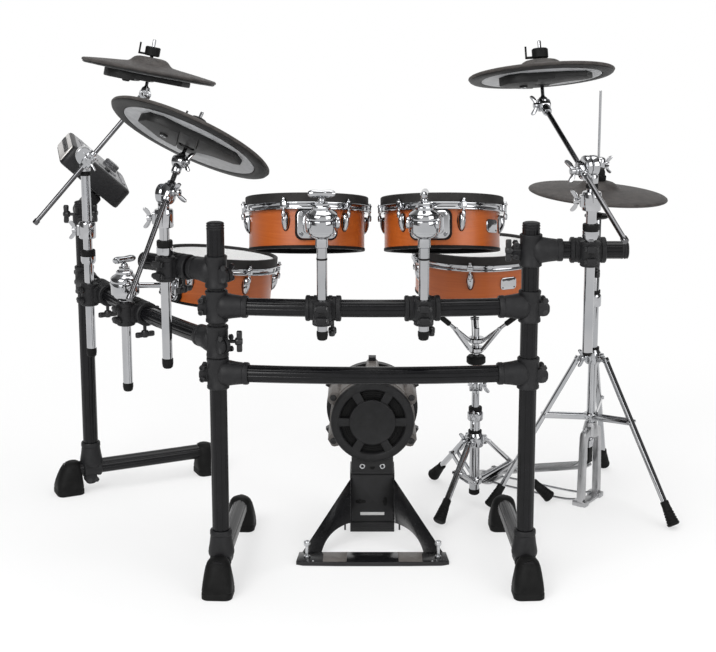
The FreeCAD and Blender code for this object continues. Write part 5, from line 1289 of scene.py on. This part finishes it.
def snare_column():
    """Sliding tube with the tilter's tongue, its neck and pin."""
    stand = placed(SNARE)
    metal = Work().lathe(stand, [(0, 122), (9.5, 122), (9.5, 292), (8, 296), (0, 296)], 32)
    metal.drum(placed(TILTER - RIGHT * 0.0079, RIGHT, UP), 18, 0, 15.8, 1.6, 40)
    metal.slab(placed(raised(SNARE, 298)), (15.6, 19, 20), 2.5)
    metal.drum(placed(TILTER - RIGHT * 0.020, RIGHT), 3.9, 0, 40, 0.6, 20)
    piece("snare_column_tube", metal, CHROME, "snare_column", ["snare_column"])


def snare_basket():
    """Tilter cheeks with a wing screw, stem, lower and upper hubs, round knob and three hinged arms."""
    stand = placed(SNARE)
    metal, black = Work(), Work()
    for side in SIDES:
        cheek = placed(TILTER + RIGHT * side * 0.0083, RIGHT * side, UP)
        metal.drum(cheek, 18, 0, 8, 1.6, 40)
        metal.slab(shifted(cheek, x=0.018, z=0.004), (26, 22, 8), 1.6)
    wing_nut(metal, placed(TILTER + RIGHT * 0.0165, RIGHT, UP))
    stem = [(0, 335), (17, 335), (18, 337), (18, 342), (12, 346), (7.7, 348), (7.7, 457), (6, 459), (0, 459)]
    metal.lathe(stand, stem, 32)
    metal.hoop(stand, 7.5, 19.5, 396, 410, 36, 2.5, 3)
    metal.hoop(stand, 7.5, 21.5, 421, 434, 36, 2.5, 3)
    black.lathe(stand, [(7.5, 366), (20, 366), (24, 370), (24, 382), (20, 387), (7.5, 387)], 40, True)
    edge, seat = 0.1489, 0.5518
    for angle in ARM_SPOTS:
        out = level_way(angle)
        side = UP.cross(out)
        hub = raised(SNARE, 427) + out * 0.018
        elbow = raised(SNARE, 541) + out * edge
        knee = hub.lerp(elbow, 0.86) - UP * 0.006
        metal.sweep(smooth_path([hub, hub.lerp(knee, 0.5), knee, elbow], 8), round_section(4.4, 18))
        cross_pin(metal, hub, side, 5, 20)
        rod_start = raised(SNARE, 403) + out * 0.017
        rod_end = hub.lerp(knee, 0.42)
        for turn in SIDES:
            gap = side * turn * 0.0075
            metal.sweep([rod_start + gap, rod_end + gap], flat_section(2.6, 8, 1), side)
        cross_pin(metal, rod_end, side, 4.2, 22, 18)
        rest = placed(elbow, UP, out)
        metal.lathe(rest, [(0, -6), (6.6, -6), (7.7, -4), (7.7, 6), (0, 6)], 24)
        black.bar(hub.lerp(knee, 0.56), hub.lerp(knee, 0.99), 6.6, 22)
        black.lathe(rest, [(0, 5), (8.6, 5), (8.6, 8.5), (0, 8.5)], 24)
        black.slab(shifted(rest, 0.006, 0, (seat - elbow.z) - 0.0035), (24, 17, 6), 2)
    piece("basket_arms", metal, CHROME, "snare", ["snare_basket"])
    piece("basket_grips_and_knob", black, BLACK_RUBBER, "snare")


def stands():
    metal, black = Work(), Work()
    for base in TRIPODS:
        tripod(base, metal, black)
    piece("bent_tripods", metal, CHROME, STAND, ["stand_tripods"])
    tubes = Work()
    hihat_tube(tubes, black)
    snare_stand(tubes, black)
    piece("stand_tubes_and_clamps", tubes, CHROME, STAND, ["stand_tubes"])
    piece("stand_rings", black, BLACK_RUBBER, STAND)
    hihat_frame()
    footboard()
    pull_rod()
    snare_column()
    snare_basket()
    profile = [(3.9, 735), (26, 735), (30.5, 738), (30.8, 741), (29, 743), (14, 743.6), (12, 747), (3.9, 747)]
    sensor = Work().lathe(placed(HIHAT), profile, 56, True)
    piece("hihat_sensor_plate", sensor, TRIGGER_PLASTIC, STAND, ["hihat_sensor_base"])


# Kick pad
KICK = placed((0, 0.160, 0.288), BACK * -1, RIGHT)
KICK_RADIUS = 99.0
POD_COUNT, POD_START = 5, math.radians(-30)
SPOKE = twofold([(98, 10), (92, 11.5), (50, 9.5)])


def kick_cover():
    """Stepped outer ring, six spokes, blank middle disc and the dark grille behind them."""
    profile = [(76, 0), (KICK_RADIUS, 0), (KICK_RADIUS, 9), (97, 12.4), (93.5, 14), (83, 14), (80, 12.6),
               (76, 7)]
    ring = Work().lathe(KICK, profile, 96, True)
    disc = [(0, 3), (54.5, 3), (55, 4), (55, 14.4), (53.6, 15.6), (51.5, 15.6), (50.4, 14.8), (0, 14.8)]
    ring.lathe(KICK, disc, 80)
    piece("kick_cover_ring", ring, COVER_PLASTIC, STAND, ["kick_front_cover"])
    spoke = Work().prism(shifted(HOME, z=0.002), SPOKE, 11, 1.8)
    repeated("kick_spokes", spoke, COVER_PLASTIC, STAND, 6, KICK, SIXTH)
    back = Work().lathe(KICK, [(0, 0.2), (80, 0.2), (80, 2), (0, 2)], 72)
    for radius in (58.5, 63.5, 68.5, 73.5):
        back.lathe(KICK, offset([(-1, 1.6), (1, 1.6), (0.6, 3.4), (-0.6, 3.4)], radius), 72, True)
    piece("kick_grille", back, BLACK_RUBBER, STAND)


def kick_pods():
    """Five housings along the shell with their screws, and the ribbed belt between them."""
    outline = mirrored([(17, 92), (17, 104), (14, 113), (9, 117.5)])
    pod = Work().prism(turned(shifted(HOME, z=-0.128), -math.pi / 2), outline, 118, 3)
    start = turned(KICK, POD_START)
    repeated("kick_pods", pod, KICK_PLASTIC, STAND, POD_COUNT, start, SIXTH)
    head = [(0, 0), (7.8, 0), (7.8, 2.2), (6.4, 3.4), (4.4, 3.4), (4.2, 1.4), (0, 1.4)]
    screw = Work().lathe(shifted(HOME, 0.1075, 0, -0.011), head, 28)
    repeated("kick_pod_screws", screw, DARK_BOLT, STAND, POD_COUNT, start, SIXTH)
    profile = [(98, -124), (101.5, -124), (101.5, -112), (99.4, -110), (99.4, -30), (101.5, -28),
               (101.5, -14), (99.4, -12), (99.4, -1), (98, -1)]
    belt = Work().lathe(KICK, profile, 96, True)
    piece("kick_shell_bands", belt, KICK_PLASTIC, STAND)


def kick_front():
    """Clamp plate with its two screws, raised front panel with slots, blank pale strip and the foot's grips;
    the slots and the screws' hex sockets are dark shapes, painted shade in place of holes.
    """
    plate = Work()
    face = placed((0, 0.181, 0.1665), BACK * -1, RIGHT)
    half = [(48, -16), (50, -10), (50, 26), (44, 30), (34, 25), (18, 21)]
    plate.prism(face, mirrored(half, [(0, 20)]), 9, 2)
    plate.slab(shifted(face, z=0.0035, y=-0.0135), (99, 5, 12), 1.5)
    panel = placed((0, 0.181, 0.083), BACK * -1, RIGHT)
    plate.plate(panel, (102, 126, 5), 2.4, 0.8)
    plate.slab(shifted(placed((0, 0.182, 0.019)), y=-0.002), (106, 10, 17), 4)
    bolts, dark, grips = Work(), Work(), Work()
    # Dark shapes: a mark on the clamp plate, and the panel's two slots as flat dark plates, painted shade in
    # place of openings
    dark.prism(shifted(face, 0, -0.001, 0.0086), mirrored([(7, 4), (4.5, -2)], [(0, -3.6)]), 1.0, 0.3)
    dark.plate(shifted(panel, -0.028, -0.004, 0.0021), (25, 8, 3.6), 0.8, 0.2)
    dark.plate(shifted(panel, 0.031, -0.004, 0.0021), (8, 22, 3.6), 0.8, 0.2)
    for side in SIDES:
        hole = shifted(face, side * 0.024, 0.004, 0.0085)
        bolts.lathe(hole, [(0, 0), (6.6, 0), (6.6, 1.6), (5.6, 2.4), (4.2, 2.4), (4, 0.9), (0, 0.9)], 28)
        # Dark hexagon at the bottom of the screw head's recess: painted shade of the hex socket
        dark.lathe(shifted(hole, z=0.0007), [(0, 0), (4, 0), (4, 0.5), (0, 0.5)], 6)
        button = shifted(panel, side * 0.030, -0.004, 0.0026)
        dark.lathe(button, [(0, 0), (5, 0), (5, 1.6), (3.6, 2.2), (0, 2.2)], 20)
        grips.plate(placed((side * 0.087, 0, 0.0098)), (55, 56, 2), 0.9, 0.3)
    piece("kick_clamp_plate", plate, TOWER_BLACK, STAND)
    piece("kick_clamp_screws", bolts, BOLT_STEEL, STAND)
    piece("kick_panel_slots", dark, BLACK_RUBBER, STAND)
    strip = Work().plate(shifted(panel, 0, -0.035, 0.0022), (58, 7.5, 1), 0.7, 0.2)
    piece("kick_blank_strip", strip, PALE_PLATE, STAND)
    piece("kick_strip_grips", grips, KICK_PLASTIC, STAND)


WEB = [(88, 60), (166, 138), (200, 138), (200, 60)]
STRIP = mirrored([(171, 31.5), (176, -22), (160, -29), (80, -31.2)], [(0, -31.5)])


def wing_outline():
    """Straight outer edge to the tower's side, and the arch's curve along the inner edge."""
    arch = []
    for step in range(17):
        t = step / 16
        first, second, third = (1 - t) ** 2, t * (1 - t), t * t
        arch.append((56 * first + 218 * second + 120 * third, 80 * first + 122 * second))
    return [(168, 0), (54, 192), (52, 192), (52, 80)] + arch


def kick_base():
    """Front strip, broad sloping wings with the webs behind them, and the tower's foot."""
    low, high = (Vector(corner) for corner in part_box("kick_tower"))
    thick = low.z / MM
    base = Work().prism(HOME, STRIP, thick, 1.2)
    middle, spread = (low + high) / 2, (high - low) / MM
    base.slab(placed((middle.x, middle.y, low.z / 2)), (spread.x, spread.y, thick), 1.2)
    slope = placed((0, 0.0295, 0.002), UP - BACK, RIGHT)
    for side in SIDES:
        base.prism(slope, [(side * x, y) for x, y in wing_outline()], 3, 0.8)
        base.prism(placed((side * 0.0505 - 0.0015, 0, 0), RIGHT, BACK), WEB, 3, 0.6)
    piece("kick_base_plate", base, GLOSS_BLACK, STAND, ["kick_base_frame"])


SPIKE = [(0, 0), (4, 0), (4, 28), (6.8, 29), (7.4, 30.4), (7.4, 38), (6.4, 39.4), (4, 39.4), (3.8, 36.4),
         (0, 36.4)]


def anchor_screws():
    """Long spike screws with round heads and lock nuts, the strip's small rivets, and bent spurs."""
    steel, spurs = Work(), Work()
    for side in SIDES:
        spot = placed((side * 0.1514, 0, 0.010))
        steel.lathe(spot, SPIKE, 28)
        hex_head(steel, spot, 7.6, 4)
        rivet = placed((side * 0.137, -0.024, 0.0098))
        steel.lathe(rivet, [(0, 0), (2.6, 0), (2.2, 1.2), (0, 1.7)], 18)
        start = Vector((side * 0.052, 0.196, 0.030))
        spurs.bar(start, start + Vector((side * 0.016, -0.004, -0.004)), 2.4, 14)
        bend = start + Vector((side * 0.014, -0.004, -0.001))
        spurs.bar(bend, Vector((side * 0.066, 0.190, 0.002)), 2.2, 14)
    piece("kick_spike_screws", steel, BOLT_STEEL, STAND, ["kick_anchor_bolts"])
    piece("kick_spurs", spurs, DARK_BOLT, STAND)


def kick():
    kick_cover()
    kick_pods()
    kick_front()
    kick_base()
    anchor_screws()


# Sound module
MODULE_WAY = level_way(102)
BRACKET = raised(REAR_POST, 706)
MODULE_AXIS = BRACKET + MODULE_WAY * 0.170
TILT = math.radians(42.5)
PLAYER_WAY = level_way(12)
MODULE_ACROSS = PLAYER_WAY * math.cos(TILT) - UP * math.sin(TILT)
MODULE_OUT = PLAYER_WAY * math.sin(TILT) + UP * math.cos(TILT)
MODULE = placed(MODULE_AXIS + PLAYER_WAY * 0.036 + UP * 0.109, MODULE_OUT, MODULE_ACROSS)
HALF_THICK = 28.5
MODULE_FACE = shifted(MODULE, z=HALF_THICK * MM)
HOLDER_GRIP = twofold([(16.8, 4), (18, 6), (18, 34), (16.5, 36), (11.4, 36)])


def bracket_arm(work):
    """Post clamp with its arm, on which the module's holder turns."""
    spot = placed(BRACKET, UP, MODULE_WAY)
    work.hoop(spot, 19.4, 24.4, -24.5, 24.5, 40, 1.8, 1.5)
    work.slab(shifted(spot, 0.026), (18, 34, 40), 4)
    work.lathe(placed(BRACKET, MODULE_WAY), [(0, 22), (11.1, 22), (11.1, 238), (9.5, 240), (0, 240)], 32)
    work.slab(shifted(spot, -0.029, 0, 0), (15, 26, 38), 3)


def module_case():
    """Rounded case with its panel, screen, keys and sliders, silver rear edge, jacks, holder and knobs."""
    case = Work().plate(shifted(MODULE, z=-HALF_THICK * MM), (187, 280, 16), 2 * HALF_THICK, 6)
    hang = MODULE.inverted() @ MODULE_AXIS
    neck = Work().slab(shifted(MODULE, hang.x, 0, (hang.z - HALF_THICK * MM) / 2 - 0.006), (34, 78, 62), 5)
    neck.lathe(placed(MODULE_AXIS, MODULE_WAY), HOLDER_GRIP, 36, True)
    neck.plate(shifted(MODULE, 0, 0, -0.0345), (130, 150, 12), 7, 2)
    piece("module_shell", case, MODULE_PLASTIC, "module", ["module_case"])
    piece("module_holder", neck, JOINT_PLASTIC, "module")
    edge = Work().slab(shifted(MODULE, -0.0905, 0, 0), (9, 262, 47), 3)
    piece("module_rear_edge", edge, MODULE_SILVER, "module")
    socket = [(0, 0), (7.5, 0), (7.5, 2.4), (4, 2.4), (3.8, 0.6), (0, 0.6)]
    jack = Work().lathe(placed(ORIGIN, RIGHT * -1, BACK), socket, 24)
    row = shifted(MODULE, -0.095, -0.105, 0.004)
    repeated("module_jacks", jack, DARK_BOLT, "module", 9, row, step=(0, 26, 0))
    panel = Work().plate(shifted(MODULE_FACE, 0.002, 0, -0.0006), (166, 256, 10), 1.4, 0.5)
    panel.plate(shifted(MODULE_FACE, -0.036), (54, 104, 5), 2.6, 1)
    piece("module_panel", panel, DIAL_PLASTIC, "module")
    glass = Work().plate(shifted(MODULE_FACE, -0.036, 0, 0.0022), (40, 88, 3), 0.8, 0.2)
    piece("module_screen", glass, SCREEN_GLASS, "module")
    key = Work().plate(HOME, (12, 17, 3), 3.4, 1)
    for index, (x, y, count) in enumerate(((-0.060, 0.068, 2), (-0.060, -0.090, 2), (0.072, -0.084, 8))):
        repeated(f"module_keys_{index}", key, KEY_RUBBER, "module", count,
                 shifted(MODULE_FACE, x, y), step=(0, 24, 0))
    slider = Work().plate(HOME, (44, 4, 1.8), 1.2, 0.3)
    slider.slab(shifted(HOME, 0.006, 0, 0.004), (12, 9, 8), 2)
    repeated("module_sliders", slider, DARK_BOLT, "module", 3,
             shifted(MODULE_FACE, 0.012, -0.100), step=(0, 15, 0))
    knobs = Work()
    for turn, at in ((180, 0.052), (0, 0.020)):
        out = level_way(turn - 12)
        t_knob(knobs, placed(MODULE_AXIS - MODULE_WAY * at + out * 0.016, out, UP))
    piece("module_holder_knobs", knobs, DARK_BOLT, "module")


def module_dial():
    """Fluted kit dial with a pale pointer."""
    place = placed(joints["module_dial_turn"]["pos_m"], MODULE_OUT, MODULE_ACROSS)
    profile = [(0, -14), (3, -14), (3, 0.5), (22, 0.5), (22, 3), (20.4, 5), (19.6, 14.4), (18.4, 16), (0, 16)]
    dial = Work().lathe(place, profile, 56)
    piece("kit_dial", dial, DIAL_PLASTIC, "module_dial", ["module_dial"])
    rib = Work().slab(shifted(HOME, 0.0202, 0, 0.0095), (1.8, 1.5, 9), 0.4)
    repeated("kit_dial_ribs", rib, DIAL_PLASTIC, "module_dial", 30, place, math.pi / 15)
    mark = Work().plate(shifted(place, 0.0115, 0, 0.0157), (9, 2, 0.9), 0.6, 0.15)
    piece("kit_dial_pointer", mark, PALE_PLATE, "module_dial")


# Rubber pads
def pad_seats():
    """Seat, normal and diameter of every pad."""
    pads = {name: (*boom_lines(name)[4:6], CYMBALS[name].across) for name in CYMBALS}
    pads["hihat"] = (raised(HIHAT, 790), lean(0, 3.9), 340.0)
    return pads


def pad_top(name, seat, normal, across):
    """Rounded edge, shallow bow and soft bell of one pad."""
    edge = across / 2
    profile = [(9, 0)] + offset([(-9, 0), (-4.5, 0.5), (-1.4, 2), (0, 4.4), (-0.9, 6.8), (-4, 8.8)], edge)
    for share in (0.12, 0.3, 0.5, 0.7, 0.88):
        profile.append((edge - 4 - (edge - 62) * share, 9 + 11 * share + 2.2 * share * (1 - share)))
    profile += [(55, 20.8), (51, 22.4), (47.5, 25.2), (44, 29), (40, 32.6), (35, 35.2), (28, 36.8),
                (18, 37.3), (10, 37.3), (9, 37)]
    place = placed(seat, normal)
    body = "hihat_rod" if name == "hihat" else f"{name}_pad"
    pad = Work().lathe(place, profile, 112, True)
    rubber = pad_rubber(f"{name}_rubber", place)
    piece(f"{name}_rubber_pad", pad, rubber, body, [f"{name}_pad"], 30)


# The pieces
for drum_name in DRUMS:
    dress_drum(drum_name)
for arm_name in TUBE_BOTTOMS:
    tom_arm(arm_name)
rack()
cymbals()
for pad_name, pad_spot in pad_seats().items():
    pad_top(pad_name, *pad_spot)
stands()
kick()
module_case()
module_dial()
PLAIN_SOLIDS = {"kick_tower": TOWER_BLACK, "kick_hoop": TOWER_BLACK, "kick_drum_shell": KICK_PLASTIC,
                "kick_head": WOVEN_MESH, "module_key": KEY_RUBBER}
for solid_name, solid_finish in PLAIN_SOLIDS.items():
    dress(solid_name, solid_finish)


# Studio
WHITE = (1, 1, 1, 1)
FLOOR_HALF = 30
FADE_START, FADE_END, FADE_LOW = 0.9, 2.2, 0.55


def studio_floor():
    mesh = bpy.data.meshes.new("floor")
    corners = [(x * FLOOR_HALF, y * FLOOR_HALF, 0) for x, y in ((-1, -1), (1, -1), (1, 1), (-1, 1))]
    mesh.from_pydata(corners, [], [(0, 1, 2, 3)])
    floor = bpy.data.objects.new("floor", mesh)
    bpy.context.collection.objects.link(floor)
    material, tree = shader("pale_floor", (0.86, 0.86, 0.86), 0.9)
    path = wire(tree, "ShaderNodeLightPath").outputs
    seen = reckon(tree, "MAXIMUM", path["Is Camera Ray"], path["Is Glossy Ray"])
    point = wire(tree, "ShaderNodeTexCoord").outputs["Object"]
    far = wire(tree, "ShaderNodeVectorMath", {0: point}, operation="LENGTH").outputs["Value"]
    fade = spread(tree, far, FADE_START, FADE_END, FADE_LOW, 1.0, "SMOOTHSTEP")
    glow = wire(tree, "ShaderNodeEmission", {"Strength": 1.0}).outputs["Emission"]
    plain = tree.nodes["Principled BSDF"].outputs["BSDF"]
    mix = blend(tree, reckon(tree, "MULTIPLY", seen, fade), plain, glow)
    tree.links.new(mix, tree.nodes["Material Output"].inputs["Surface"])
    mesh.materials.append(material)


# Grey flags in mirrored light: axis, where each starts and ends, and how dark it is
FLAGS = (("Z", 0.25, 0.75, 0.25), ("X", 0.45, 0.85, 0.10))


def studio_sky(light):
    world = bpy.data.worlds.new("studio")
    world.use_nodes = True
    tree = world.node_tree
    soft = tree.nodes["Background"]
    soft.inputs["Color"].default_value = WHITE
    soft.inputs["Strength"].default_value = light
    direction = wire(tree, "ShaderNodeTexCoord").outputs["Generated"]
    way = wire(tree, "ShaderNodeSeparateXYZ", {"Vector": direction}).outputs
    shades = [spread(tree, reckon(tree, "ABSOLUTE", way[axis]), start, end, 1.0, dark, "SMOOTHSTEP")
              for axis, start, end, dark in FLAGS]
    levels = (1.0, reckon(tree, "MULTIPLY", *shades))
    white, flags = (wire(tree, "ShaderNodeBackground", {"Color": WHITE, "Strength": level}).outputs[0]
                    for level in levels)
    path = wire(tree, "ShaderNodeLightPath").outputs
    mirrored = reckon(tree, "MAXIMUM", path["Is Glossy Ray"], path["Is Transmission Ray"])
    shine = blend(tree, mirrored, soft.outputs["Background"], flags)
    seen = blend(tree, path["Is Camera Ray"], shine, white)
    tree.links.new(seen, tree.nodes["World Output"].inputs["Surface"])
    bpy.context.scene.world = world


# Place and aim in metres, width in metres, power in watts
LIGHTS = {
    "key_light": ((-2.2, -3.2, 3.4), (0, 0.2, 0.6), 2.6, 150),
    "fill_light": ((2.8, -2.4, 2.2), (0, 0.2, 0.6), 2.4, 55),
    "top_light": ((0.2, 0.6, 3.6), (0, 0.2, 0.5), 2.6, 60),
}
SKY_LIGHT = 0.55


def soft_box(name, at, target, size, power):
    lamp = bpy.data.lights.new(name, "AREA")
    lamp.shape = "SQUARE"
    lamp.size = size
    lamp.energy = power
    holder = bpy.data.objects.new(name, lamp)
    holder.location = at
    holder.rotation_euler = (Vector(target) - Vector(at)).to_track_quat("-Z", "Y").to_euler()
    bpy.context.collection.objects.link(holder)


# Camera fitted to the photograph: millimetres, shares of the sensor's width, metres and degrees
SENSOR, LENS = 36, 81.04
SHIFT_ACROSS, SHIFT_UP = -0.01008, -0.10
CAMERA_AT = (-0.01706, -3.50611, 1.45710)
CAMERA_DOWN = 11.795


def photo_camera():
    """The photograph's viewpoint."""
    lens = bpy.data.cameras.new("photo_camera")
    lens.sensor_width = SENSOR
    lens.sensor_fit = "HORIZONTAL"
    lens.lens = LENS
    lens.shift_x = SHIFT_ACROSS
    lens.shift_y = SHIFT_UP
    lens.clip_end = 100
    holder = bpy.data.objects.new("photo_camera", lens)
    holder.location = CAMERA_AT
    holder.rotation_euler = (math.radians(90 - CAMERA_DOWN), 0, 0)
    bpy.context.collection.objects.link(holder)
    bpy.context.scene.camera = holder


studio_floor()
studio_sky(SKY_LIGHT)
for light_name, light_setting in LIGHTS.items():
    soft_box(light_name, *light_setting)
photo_camera()
bpy.context.scene.view_settings.view_transform = "Standard"
